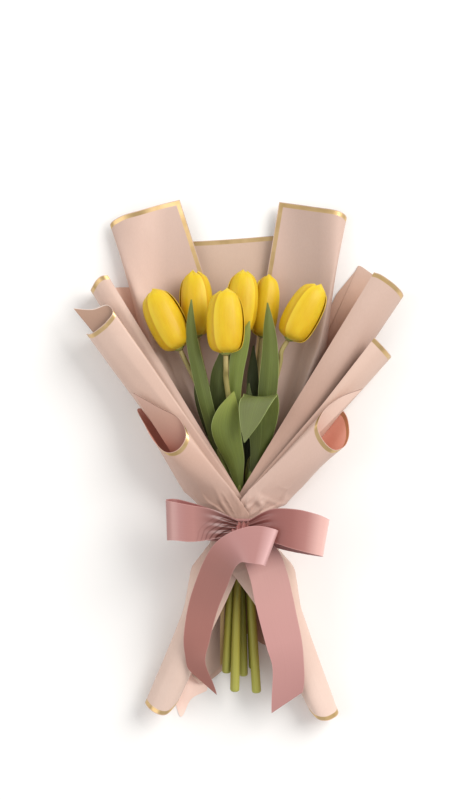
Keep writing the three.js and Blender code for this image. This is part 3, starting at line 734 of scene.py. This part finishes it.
# Each stem: its place in the ring at the waist, how much painted light its leaves get, its path above
# and below the waist, and its leaves as stations of x, y, z and half width
STEMS = [
    dict(
        ring_angle=150,
        light="half_lit",
        upper=[(-30, 92, 38), (-39, 124, 41)],
        lower=[(-10, -80, 29), (-13, -148, 24)],
        leaves=[[
            (-15, 48, 35, 3), (-21, 66, 38, 5), (-27, 90, 44, 6), (-33, 114, 51, 6.5),
            (-39, 140, 54, 6.5), (-45, 168, 56, 5.5), (-46.5, 190, 57, 3.5), (-46, 209, 57, 0.5),
        ]],
    ),
    dict(
        ring_angle=210,
        light="half_lit",
        upper=[(-25, 100, 26)],
        lower=[(-8, -80, 20), (-9, -140, 13)],
        leaves=[
            [
                (-12, 48, 25.5, 3), (-22, 72, 30, 6), (-31, 96, 33, 7), (-38, 118, 35, 5.5),
                (-42, 140, 36, 0.5),
            ],
            [
                (-14, 56, 26, 3), (-17, 84, 33, 5.5), (-20.5, 110, 38, 8), (-19.5, 138, 41, 8),
                (-14, 160, 42, 5), (-11, 178, 42, 0.5),
            ],
        ],
    ),
    dict(
        ring_angle=90,
        light="lit",
        upper=[(-7, 90, 43), (-13, 132, 58)],
        lower=[(-3, -80, 34), (-5, -165, 30)],
        leaves=[
            [
                (0, 24, 38, 3), (-2, 40, 41, 5), (-5.5, 57, 44.5, 9.5), (-11, 74, 50, 13),
                (-13.5, 90, 54, 13.5), (-11, 106, 58, 9.5), (-6, 122, 60, 0.5),
            ],
            [
                (-4, 62, 40, 3), (-3, 88, 44, 4.5), (-4.5, 114, 49, 4.8), (-3.5, 140, 52.5, 6.9),
                (-0.2, 160, 55.5, 7.6), (5, 176, 58, 4.6), (9, 188.5, 59, 0.5),
            ],
        ],
    ),
    dict(
        ring_angle=270,
        light="shaded",
        upper=[(0, 100, 26)],
        lower=[(2, -80, 18), (3.5, -152, 15)],
        leaves=[[
            (0, 50, 23, 3), (1, 72, 30, 4), (5, 92, 36, 4.5), (8, 112, 39, 4), (8.5, 130, 40, 0.5),
        ]],
    ),
    dict(
        ring_angle=330,
        light="shaded",
        upper=[(13, 100, 22)],
        lower=[(10, -80, 20), (13, -145, 13)],
        leaves=[[
            (8, 48, 25, 3), (10, 80, 28, 5), (12, 110, 31, 6), (12.5, 140, 32, 5), (13, 166, 32, 0.5),
        ]],
    ),
    dict(
        ring_angle=30,
        light="half_lit",
        upper=[(22, 90, 35), (37, 145, 44)],
        lower=[(11, -80, 29), (16, -167, 24)],
        leaves=[
            [
                (10, 40, 34, 3), (16, 66, 37, 5), (23, 95, 43, 7.5), (27, 130, 49, 9),
                (28.5, 160, 53, 7.5), (27.5, 184, 56, 5), (26, 206, 57, 0.5),
            ],
            [
                (9.5, 28, 33.5, 3), (15, 50, 37, 5.5), (19.5, 72, 42, 9.5), (20.5, 92, 48, 14.5),
                (21, 107, 55, 16), (19, 117, 62, 16), (14, 110, 68, 15), (9, 92, 70, 9),
                (4, 74, 70, 0.5),
            ],
        ],
    ),
]

# Stems keep their radius at the waist, get thinner above it and thicker below it, and run straight
# through it
STEM_RADIUS = 3.1
STEM_THINS = 0.005
STEM_THICKENS = 0.0085
WAIST_RUN = 25
NECK = 14
ROUNDED_END = 2.6

# Leaves are cupped and waved by a share of their half width, and their first rows face up
LEAF_CUP = -0.24
LEAF_WAVE = 0.1
RISING_ROWS = 20


def direction(line, t, step=0.002):
    return (line(min(t + step, 1)) - line(max(t - step, 0))).normalized()


def blade(stations, cup):
    """A long blade through stations of x, y, z, half width, turn and tilt. The turn is the angle of
    its width from +X in plan and the tilt lifts that width's end, both in degrees."""
    line = smooth_line([station[:3] for station in stations])
    widths = smooth_line([(*station[3:], 0, 0)[:3] for station in stations])

    def place(u, v):
        half, turn, tilt = widths(v)
        side = Matrix.Rotation(-math.radians(tilt), 3, "Y") @ Vector((1, 0, 0))
        side = Matrix.Rotation(math.radians(turn), 3, "Z") @ side
        out = side.cross(direction(line, v)).normalized()
        w = 2 * u - 1
        return line(v) + side * (w * half) + out * (cup(w, v) * half)

    return place


def leaf(stations, seed):
    """A leaf cupped along its middle where it rises and flat where it hangs over, with a slow wave
    along each edge."""
    line = smooth_line([station[:3] for station in stations])

    def cup(w, v):
        wave = noise.noise(Vector((seed, v * 5, w)))
        rising = ease(-0.1, 0.6, direction(line, v).y)
        waved = LEAF_WAVE * wave * w * w * math.sin(math.pi * v)
        return LEAF_CUP * rising * abs(w) ** 1.6 + waved

    return blade(stations, cup)


def stem_path(stem, bloom):
    """A stem's line from the bottom of its bloom's heart through the ring at the waist to its cut."""
    turn = math.radians(stem["ring_angle"])
    x = STEM_RING * math.cos(turn)
    z = WAIST_HEIGHT + STEM_RING * math.sin(turn)
    lean = math.radians(bloom["lean"])
    drop = HEART_SHARE * HEART_SQUASH * bloom["radius"] - HEART_LIFT
    bx, by, bz = bloom["base"]
    top = (bx - drop * math.sin(lean), by - drop * math.cos(lean), bz)
    neck = (bx - NECK * math.sin(lean), by - NECK * math.cos(lean), bz - 1)
    waist = [(x, WAIST_RUN, z), (x, 0, z), (x, -WAIST_RUN, z)]
    return smooth_line([top, neck, *reversed(stem["upper"]), *waist, *stem["lower"]])


def tube(bm, line, radius, sides, steps):
    """Adds a closed tube along a line, its radius a function of the point that it has reached. It is
    rounded off at its cut end, where its rows lie closer together."""
    cut = line(1)

    def place(u, v):
        t = 1 - (1 - v) ** 1.5
        ahead = direction(line, t)
        side = UP.cross(ahead).normalized()
        over = ahead.cross(side)
        turn = 2 * math.pi * u
        centre = line(t)
        short = 1 - min((cut - centre).length / ROUNDED_END, 1)
        reach = radius(centre) * (0.5 + 0.5 * math.sqrt(1 - short * short))
        return centre + (side * math.cos(turn) + over * math.sin(turn)) * reach

    surface(bm, place, sides, steps)
    close_seams(bm)
    open_edges = [edge for edge in bm.edges if edge.is_boundary]
    bmesh.ops.holes_fill(bm, edges=open_edges, sides=sides)
    bmesh.ops.recalc_face_normals(bm, faces=bm.faces)


def stem_radius(point):
    return STEM_RADIUS - point.y * (STEM_THINS if point.y > 0 else STEM_THICKENS)


def add_leafy_stem(number, stem, bloom):
    node = f"tulip_{number}_leafy_stem"
    bm = bmesh.new()
    tube(bm, stem_path(stem, bloom), stem_radius, 20, 110)
    add_piece(f"tulip_{number}_stem", bm, STALKS, node)
    for i, stations in enumerate(stem["leaves"]):
        bm = bmesh.new()
        rows = surface(bm, leaf(stations, number * 3 + i), 20, 70)
        turn_faces(bm, rows[:RISING_ROWS], upward=True)
        sharpen_rims(bm)
        tone = LEAVES[stem["light"]]
        add_piece(f"tulip_{number}_leaf_{i + 1}", bm, tone, node, LEAF, LEAF_UNDERSIDE)


# Paper sheets

# How far the fold at each section line reaches along the sheet
SOFT_FOLD = 5.0


def sheet_columns(sections, across):
    """The places where each lengthwise ruling crosses the section lines."""
    lines = [smooth_line(section) for section in sections]
    return [[line(i / across) for line in lines] for i in range(across + 1)]


def section_shares(columns):
    """How far along the sheet each section line lies, as a share of its length."""
    gaps = []
    for k in range(len(columns[0]) - 1):
        gaps.append(sum((column[k + 1] - column[k]).length for column in columns) / len(columns))
    total = sum(gaps)
    return [sum(gaps[:k]) / total for k in range(len(gaps) + 1)], total


def along_ruling(column, shares, v):
    k = 0
    while k < len(shares) - 2 and shares[k + 1] < v:
        k += 1
    share = (v - shares[k]) / (shares[k + 1] - shares[k])
    return column[k].lerp(column[k + 1], share)


def measure_borders(bm, rows, gold):
    """Stores how far each point lies from the sheet's gold sides and from its gold ends. Each gold
    end has the shares of the sheet's width between which it is gilded."""
    columns = list(zip(*rows))
    from_side = bm.verts.layers.float["from_side"]
    from_end = bm.verts.layers.float["from_end"]
    for vert in bm.verts:
        vert[from_side] = NO_GOLD
        vert[from_end] = NO_GOLD
    walks = []
    if gold.get("sides"):
        walks += [(row, from_side) for row in rows] + [(row[::-1], from_side) for row in rows]
    for end, step in (("top", 1), ("hem", -1)):
        if end in gold:
            first, last = (round(share * (len(columns) - 1)) for share in gold[end])
            walks += [(column[::step], from_end) for column in columns[first:last + 1]]
    for verts, layer in walks:
        distance = 0.0
        last = verts[0].co
        for vert in verts:
            distance += (vert.co - last).length / MM
            last = vert.co
            vert[layer] = min(vert[layer], distance)


def add_paper(name, sections, gold, inside, relief, across=88, along=130, outside=PAPERS):
    """One sheet of paper, ruled from one section line to the next, with a soft fold at each line. The
    relief says how far each point stands out from it."""
    columns = sheet_columns(sections, across)
    shares, length = section_shares(columns)
    reach = SOFT_FOLD / length

    def place(u, v):
        column = columns[round(u * across)]
        soft = min(reach, v, 1 - v)
        steps = [along_ruling(column, shares, v + soft * k / 2) for k in range(-2, 3)]
        point = sum(steps, Vector((0, 0, 0))) / len(steps)
        point.z = max(point.z, PAPER / 2)
        return point

    bm = bmesh.new()
    bm.verts.layers.float.new("from_side")
    bm.verts.layers.float.new("from_end")
    rows = surface(bm, place, across, along)
    turn_faces(bm, rows)
    for j, row in enumerate(rows):
        for i, vert in enumerate(row):
            vert.co += vert.normal * relief(i / across, j / along, (vert.co - WAIST) / MM) * MM
            vert.co.z = max(vert.co.z, PAPER / 2 * MM)
    measure_borders(bm, rows, gold)
    sharpen_rims(bm)
    add_piece(name, bm, outside, name, PAPER, inside)


def swells(seed, height=0.5):
    """Soft lengthwise folds that fade towards both ends of a sheet."""
    def lift(u, v, point):
        wave = noise.noise(Vector((u * 9 + seed, v * 0.8, seed)))
        crease = 1 - 3 * abs(noise.noise(Vector((u * 7 + seed + 5, v * 0.5, 0))))
        return height * (wave + 0.6 * max(crease, 0)) * ease(0, 0.25, v) * (1 - ease(0.75, 0.92, v))

    return lift


def gathered(seed, crumpled):
    """Sharp creases that fan out where the bow draws the front sheets in, and soft folds up the
    rolls."""
    swell = swells(seed, 0.6)

    def lift(u, v, point):
        turn = math.atan2(point.y - KNOT_LEVEL, point.x)
        away = math.hypot(point.x, point.y - KNOT_LEVEL)
        fan = noise.noise(Vector((turn * 5 + seed, away * 0.03, seed)))
        break_line = noise.noise(Vector((point.x * 0.05 + seed, point.y * 0.06, seed + 3)))
        crease = max(0, 1 - 6 * abs(fan)) + 0.7 * max(0, 1 - 7 * abs(break_line))
        near_bow = bump_at(point.y, 16, 13) + 0.6 * bump_at(point.y, -42, 14)
        return crumpled * crease * near_bow + swell(u, v * 0.8, point) * (1 - min(near_bow, 1))

    return lift


def back_waist(y):
    return [
        *oval("back_flap", y, [240, 224, 208, 192]),
        *oval("back_turn", y, [172]),
        *oval("back", y, [190, 216, 243, 270, 297, 324, 350]),
        *oval("back_turn", y, [368]),
        *oval("back_flap", y, [348, 332, 316]),
    ]


def add_back_sheet():
    top = [
        (-58, 307, 14), (-77, 302, 18), (-97, 296, 21), (-114, 291, 18),
        (-125, 283, 10), (-114, 274, 2), (-80, 268, 0.4), (-43, 268, 0.4), (-8, 270, 0.4),
        (30, 273, 0.4), (65, 276, 0.4), (92, 281, 2),
        (103, 289, 9), (95, 296, 17), (70, 300, 18), (38, 305, 13),
    ]
    middle = [
        (-13, 167, 5), (-32, 165, 5), (-56, 163, 8), (-71, 162, 18),
        (-82, 162, 30), (-91, 160, 17), (-68, 158, 5.5), (-38, 158, 0.4), (-6, 158, 0.4),
        (27, 158, 0.4), (57, 158, 5), (82, 160, 17),
        (76, 165, 30), (64, 166, 18), (50, 167, 7), (15, 167, 5),
    ]
    skirt = [
        (-14, -84, 11), (-22, -84, 11), (-30, -84, 13), (-36, -84, 18),
        (-39, -84, 25), (-40, -84, 15), (-32, -84, 8), (-18, -84, 6), (0, -84, 6),
        (18, -84, 6), (34, -84, 8), (43, -84, 15),
        (43, -84, 25), (40, -84, 18), (34, -84, 13), (26, -84, 11),
    ]
    end = [
        (-16, -140, 6), (-26, -150, 6), (-34, -155, 7), (-41, -152, 11),
        (-44, -148, 17), (-46, -152, 9), (-38, -160, 4), (-28, -157, 3), (-12, -142, 3),
        (4, -113, 3.5), (22, -122, 4), (42, -128, 9),
        (46, -126, 19), (44, -125, 13), (38, -123, 10), (30, -121, 9),
    ]
    sections = [top, middle, back_waist(8), back_waist(-20), skirt, end]
    gold = {"sides": True, "top": (0, 1)}
    relief = swells(1.3, 0.3)
    add_paper("back_sheet", sections, gold, PANEL_INSIDE, relief, across=150, along=120, outside=FLAPS)


def add_left_outer_sheet():
    top = [
        (-82, 222, 0.8), (-100, 223, 0.8), (-118, 223, 2), (-133, 221, 7), (-141, 219, 16),
        (-143, 219, 26), (-141, 222, 35), (-137, 228, 40), (-132, 232, 42), (-126, 233, 41),
    ]
    middle = [
        (-62, 150, 0.6), (-73, 150, 1), (-85, 150, 5), (-94, 150, 13), (-99, 150, 23),
        (-99, 150, 32), (-96, 151, 39), (-91, 152, 42.5), (-85, 154, 43), (-79, 156, 41.5),
    ]
    waist = [oval("left_outer", y, evenly(250, 55, 10)) for y in TIED]
    gold = {"top": (0.36, 1)}
    add_paper("left_outer_sheet", [top, middle, *waist], gold, LEFT_OUTER_INSIDE, swells(2.1))


def add_right_outer_sheet():
    top = [
        (94, 217, 0.8), (112, 239, 0.8), (116, 244, 0.8),
        (127, 237, 1), (141, 228, 4), (152, 219, 14), (156, 213, 26),
        (155, 216, 37), (149, 222, 46), (141, 228, 51), (133, 233, 52), (127, 235, 51),
    ]
    waist = [oval("right_outer", y, evenly(260, 485, 12)) for y in TIED]
    gold = {"top": (0.4, 1)}
    relief = swells(5.2)
    add_paper(
        "right_outer_sheet", [top, *waist], gold, CORNER_INSIDE, relief, across=110, outside=RIGHT_OUTER,
    )


def add_left_middle_sheet():
    top = [
        (-104, 168, 0.8), (-117, 170, 0.8), (-130, 172, 4), (-141, 175, 13), (-146, 177, 26),
        (-146, 177, 40), (-141, 177, 50), (-133, 182, 57), (-126, 188, 61), (-120, 197, 61),
        (-126, 204, 57), (-140, 200, 53), (-158, 201, 50),
    ]
    waist = [rolled_oval("left_middle", "left_middle_tongue", y, 255, 60) for y in TIED]
    gold = {"top": (0, 1)}
    add_paper("left_middle_sheet", [top, *waist], gold, ROLL_INSIDE, swells(6.7), across=120)


def add_right_middle_sheet():
    top = [
        (104, 146, 0.6), (118, 149, 0.6), (131, 151, 4), (140, 153, 13), (144, 154, 25),
        (144, 156, 36), (141, 159, 46), (136, 164, 54), (131, 169, 57), (127, 173, 57),
    ]
    middle = [
        (71, 101, 3.5), (80, 100, 4.5), (88, 100, 8), (93, 100, 15), (95, 100, 26),
        (94, 101, 37), (90, 102, 46), (85, 104, 52), (81, 107, 55), (78, 110, 55.5),
    ]
    waist = [oval("right_middle", y, evenly(285, 475, 10)) for y in TIED]
    gold = {"top": (0, 1)}
    add_paper("right_middle_sheet", [top, middle, *waist], gold, ROLL_INSIDE, swells(8.8))


def add_front_sheet(name, sections, hem_from, inside, relief, outside):
    """A front sheet runs on below the bow, so its hem is gilded too, up to its hidden part."""
    gold = {"top": (0, 1), "hem": (hem_from, 1)}
    add_paper(name, sections, gold, inside, relief, across=132, along=150, outside=outside)


def add_left_front_sheet():
    top = [
        (-66, 104, 0.6), (-78, 103, 0.6), (-89, 104, 4), (-97, 106, 14), (-98, 103, 28),
        (-92, 93, 44), (-82, 76, 58), (-70, 65, 66), (-58, 68, 70), (-51, 81, 70),
        (-58, 97, 65), (-78, 108, 61), (-101, 121, 57),
    ]
    shoulder = [
        (-10, 30, 3), (-24, 30, 3), (-38, 30, 5), (-50, 30, 12), (-55, 29, 24),
        (-52, 28, 38), (-43, 27, 50), (-31, 27, 58), (-18, 27, 62), (-7, 28, 63),
        (-14, 29, 61.5), (-30, 30, 58), (-44, 31, 50),
    ]
    hip = [
        (-6, -46, 3), (-18, -46, 2.5), (-30, -46, 4), (-40, -46, 10), (-46, -46, 20),
        (-45, -46, 31), (-38, -46, 41), (-26, -46, 48), (-12, -46, 52), (0, -46, 53),
        (-3, -45, 50.5), (-9, -45, 49.5), (-16, -45, 49),
    ]
    skirt = [
        (-14, -86, 0.8), (-26, -86, 0.4), (-38, -86, 1), (-48, -86, 7), (-53, -85, 18),
        (-52, -84, 29), (-46, -83, 38), (-36, -82, 44), (-25, -81, 46), (-15, -80, 45),
        (-18, -80, 42), (-24, -80, 41), (-31, -81, 41),
    ]
    hem = [
        (-32, -168, 0.4), (-47, -176, 0.4), (-57, -193, 0.4), (-66, -174, 0.6), (-84, -182, 5),
        (-91, -177, 15), (-88, -181, 25), (-80, -186, 31), (-71, -187, 31), (-63, -180, 26),
        (-58, -172, 18), (-62, -168, 12), (-69, -168, 10),
    ]
    waist = [
        rolled_oval("outer", "outer_tongue", 4, 262, 70),
        rolled_oval("outer", "outer_tongue", -8, 262, 93),
        rolled_oval("inner", "inner_tongue", -20, 262, 97),
    ]
    sections = [top, shoulder, *waist, hip, skirt, hem]
    add_front_sheet("left_front_sheet", sections, 0.3, LEFT_INSIDE, gathered(3.7, 1.1), LEFT_FRONT)


def add_right_front_sheet():
    top = [
        (70, 106, 0.4), (82, 107, 0.4), (94, 106, 3), (101, 102, 12), (104, 93, 25),
        (104, 80, 38), (99, 70, 49), (89, 67, 59), (79, 75, 66), (73, 89, 69),
        (79, 104, 65), (95, 117, 61), (116, 125, 57),
    ]
    shoulder = [
        (10, 30, 4), (24, 30, 3.5), (39, 30, 5), (52, 30, 12), (58, 29, 23),
        (56, 28, 36), (47, 27, 48), (35, 27, 55), (21, 27, 58), (8, 28, 59),
        (11, 29, 56.5), (17, 30, 56), (24, 31, 55.5),
    ]
    hip = [
        (8, -46, 3.5), (21, -46, 2.5), (35, -46, 4), (46, -46, 10), (52, -46, 20),
        (51, -46, 32), (43, -46, 43), (29, -46, 51), (12, -46, 56), (-9, -46, 58),
        (-5, -45, 55.5), (2, -45, 55), (10, -45, 54.5),
    ]
    skirt = [
        (12, -86, 1.5), (26, -86, 1), (40, -86, 2), (52, -86, 8), (58, -85, 18),
        (57, -84, 29), (50, -83, 39), (39, -82, 45), (27, -81, 47), (15, -80, 46),
        (18, -80, 43), (24, -80, 42), (31, -81, 42),
    ]
    hem = [
        (42, -150, 0.4), (54, -157, 0.4), (67, -169, 0.4), (80, -188, 1), (91, -193, 6),
        (95, -187, 15), (92, -190, 24), (84, -193, 29), (76, -192, 29), (70, -187, 24),
        (66, -180, 18), (70, -176, 12), (77, -176, 10),
    ]
    waist = [
        rolled_oval("inner", "inner_tongue", 4, 285, 472),
        rolled_oval("inner", "inner_tongue", -8, 285, 447),
        rolled_oval("outer", "outer_tongue", -20, 285, 443),
    ]
    sections = [top, shoulder, *waist, hip, skirt, hem]
    add_front_sheet("right_front_sheet", sections, 0.24, RIGHT_INSIDE, gathered(8.2, 1.8), RIGHT_FRONT)


# Satin ribbon

# Strips of the ribbon as stations of x, y, z, half width, turn and tilt
RIBBON = {
    "left_loop": [
        (2, -6, 67, 5, 90), (-20, -2, 67, 11, 92), (-42, 0, 66, 16.5, 92), (-60, 2, 67, 19, 92),
        (-69, 1.5, 75, 19, 92), (-62, 1, 84, 18, 92), (-45, -1, 88, 17, 92), (-24, -2, 84, 13.5, 92),
        (-2, -5, 77, 6, 90),
    ],
    "right_loop": [
        (4, -8, 67, 5, 90), (22, -9, 67, 12, 86), (42, -11, 66, 16, 84), (62, -13, 66, 18, 82),
        (77, -15, 71, 18, 80), (80, -15, 80, 17.5, 80), (70, -11, 88, 18.5, 82), (50, -6, 90, 18.5, 86),
        (28, -3, 86, 15, 90), (8, -6, 78, 7, 90),
    ],
    "fold_and_left_tail": [
        (6, -12, 78, 8, 84), (18, -17.5, 87, 14, 77), (26.5, -22, 89.5, 17, 71), (29.3, -24, 93, 17.4, 70),
        (25, -22, 96.5, 17.6, 71), (12, -20, 96.5, 17.5, 82), (-2, -22, 93.5, 15, 104),
        (-12, -28.5, 87.5, 14.5, 131), (-19, -39, 79, 14.5, 148), (-25.5, -55, 68, 14.8, 157.5),
        (-35, -82, 56, 14, 166), (-41, -112, 50, 12.5, 174), (-42, -135, 46, 10, 170, -15),
        (-34, -156, 42, 16, 139),
    ],
    "right_tail": [
        (6, -12, 72, 9, 32), (20, -33, 74, 16.5, 26), (27, -52, 68, 17.5, 16), (31.5, -72, 62, 18, 12),
        (36, -92, 57.5, 17.7, 11), (42, -118, 52, 17, 7), (46, -142, 47, 15, 6), (45, -174, 41, 18, 34),
    ],
}

# Where along each strip its pleats start, how deep they are for its width, and how far they reach
PLEATS = {
    "left_loop": ((0.0, 1.0), 0.12, 0.09),
    "right_loop": ((0.0, 1.0), 0.13, 0.08),
    "fold_and_left_tail": ((0.0,), 0.1, 0.06),
    "right_tail": ((0.0,), 0.1, 0.08),
}

# How deep the folds of the band are
BAND_FOLD = 2.2

# The knot: its place in plan, half its width, length and height, and the length of its one turn
KNOT_PLACE = (3, -10)
KNOT_WIDE = 11
KNOT_LONG = 9
KNOT_HIGH = 9.5
KNOT_TURN = 58


def pleats(seed, roots, depth, reach):
    """Folds across a strip that start at its roots in the knot and fade along it."""
    def cup(w, v):
        near = max(bump_at(v, root, reach) for root in roots)
        phase = seed + 1.5 * noise.noise(Vector((seed, v * 3, 0)))
        fold = math.sin(w * 12 + phase) * depth * near
        drift = 0.02 * noise.noise(Vector((seed + 4, v * 3, w * 0.5)))
        return fold + drift

    return cup


def length_of(stations):
    line = smooth_line([station[:3] for station in stations])
    spots = [line(t) for t in evenly(0, 1, 60)]
    return sum((b - a).length for a, b in zip(spots, spots[1:]))


def add_satin(name, bm, finish, length):
    """A piece of the ribbon, as thick as satin. The length of its middle line is not used."""
    sharpen_rims(bm)
    piece = add_piece(name, bm, finish, "ribbon", SATIN)


def add_ribbon_strips():
    for number, (name, stations) in enumerate(RIBBON.items()):
        bm = bmesh.new()
        surface(bm, blade(stations, pleats(number * 2.3, *PLEATS[name])), 40, 20 * len(stations))
        length = length_of(stations)
        add_satin(f"ribbon_{name}", bm, SATINS[name], length)


def add_ribbon_band():
    """The turn of ribbon round the waist, gathered into folds that run round it."""
    angles = evenly(-88, 268, 17)
    upper = oval("ribbon", BAND_TOP, angles)
    top = smooth_line(upper)
    low = smooth_line(oval("ribbon", BAND_TOP - BAND_WIDTH, angles))

    def place(u, v):
        point = top(u).lerp(low(u), v)
        fold = 0.5 + 0.5 * math.sin(v * 27 + 2 * noise.noise(Vector((u * 9, v * 2, 0))))
        out = Vector((point.x, 0, point.z - WAIST_HEIGHT)).normalized()
        folded = point + out * (BAND_FOLD * fold)
        folded.z = max(folded.z, SATIN)
        return folded

    bm = bmesh.new()
    surface(bm, place, 140, 36)
    add_satin("ribbon_band", bm, SATINS["plain"], length_of(upper))


def add_ribbon_knot():
    """The knot: the ribbon's gathered turn over the roots of the loops and tails."""
    middle = Vector((*KNOT_PLACE, WAIST_HEIGHT + LAYER["ribbon"][1] + KNOT_HIGH))

    def place(u, v):
        turn = 2 * math.pi * u
        w = 2 * v - 1
        along, up = math.cos(turn), math.sin(turn)
        narrow = 1 - 0.18 * w * w
        fold = 1 + 0.14 * math.sin(v * 30 + 2 * noise.noise(Vector((along, up, v))))
        reach = narrow * fold
        return middle + Vector((KNOT_WIDE * w, KNOT_LONG * along * reach, KNOT_HIGH * up * reach))

    bm = bmesh.new()
    surface(bm, place, 64, 30)
    close_seams(bm)
    add_satin("ribbon_knot", bm, SATINS["knot"], KNOT_TURN)


# Table, light and camera

# The camera looks straight down. A pixel of the picture is PIXEL_SIZE wide at the height PIXEL_LEVEL
CAMERA_HEIGHT = 2200
CAMERA_PLACE = (-10.9, 114)
PIXELS_HIGH = 800
PIXEL_SIZE = 0.95
PIXEL_LEVEL = 45
SENSOR = 36
TABLE_REACH = 4000


def add_table():
    bm = bmesh.new()
    bmesh.ops.create_grid(bm, x_segments=1, y_segments=1, size=TABLE_REACH * MM)
    finish, shader = new_finish("pale table", Roughness=0.9, Specular_IOR_Level=0.1)
    cloudy = grain(finish, place_in_frame(finish), 3)
    pale = tinted(finish, (0.9, 0.895, 0.885), (0.92, 0.915, 0.905), cloudy, 0.3, 0.7)
    connect(finish, pale, shader, "Base Color")
    mesh_object("table", bm, finish)


def add_light(name, place, size, power, colour, target=(0, 0.03, 0.03)):
    """A square lamp that points at the middle of the bunch, its place and size in metres."""
    light = bpy.data.lights.new(name, "AREA")
    light.size = size
    light.energy = power
    light.color = colour
    lamp = new_object(name, light)
    lamp.location = place
    lamp.rotation_euler = (Vector(target) - Vector(place)).to_track_quat("-Z", "Y").to_euler()


def add_lights():
    add_light("window", (2.3, 1.5, 2.6), 2.4, 120, (1.0, 0.975, 0.945))
    add_light("reflector", (-2.2, 0.2, 2.0), 2.0, 20, (1.0, 0.985, 0.97))
    world = bpy.data.worlds.new("studio")
    world.use_nodes = True
    sky = world.node_tree.nodes["Background"].inputs
    sky["Color"].default_value = (1, 0.99, 0.98, 1)
    sky["Strength"].default_value = 0.62
    bpy.context.scene.world = world
    bpy.context.scene.view_settings.view_transform = "Standard"


def add_camera():
    focus = (CAMERA_HEIGHT - PIXEL_LEVEL) / PIXEL_SIZE
    data = bpy.data.cameras.new("camera")
    data.sensor_fit = "VERTICAL"
    data.sensor_height = SENSOR
    data.lens = focus * SENSOR / PIXELS_HIGH
    camera = new_object("camera", data)
    camera.location = in_frame((*CAMERA_PLACE, CAMERA_HEIGHT))
    bpy.context.scene.camera = camera


add_table()
add_lights()
add_camera()
for tulip, (flower, stalk) in enumerate(zip(BLOOMS, STEMS), start=1):
    add_bloom(tulip, flower)
    add_heart(tulip, flower)
    add_leafy_stem(tulip, stalk, flower)
tie_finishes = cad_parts["stem_tie"].data.materials
tie_finishes.clear()
tie_finishes.append(RUBBER)
add_back_sheet()
add_left_outer_sheet()
add_right_outer_sheet()
add_left_middle_sheet()
add_right_middle_sheet()
add_left_front_sheet()
add_right_front_sheet()
add_ribbon_knot()
add_ribbon_band()
add_ribbon_strips()
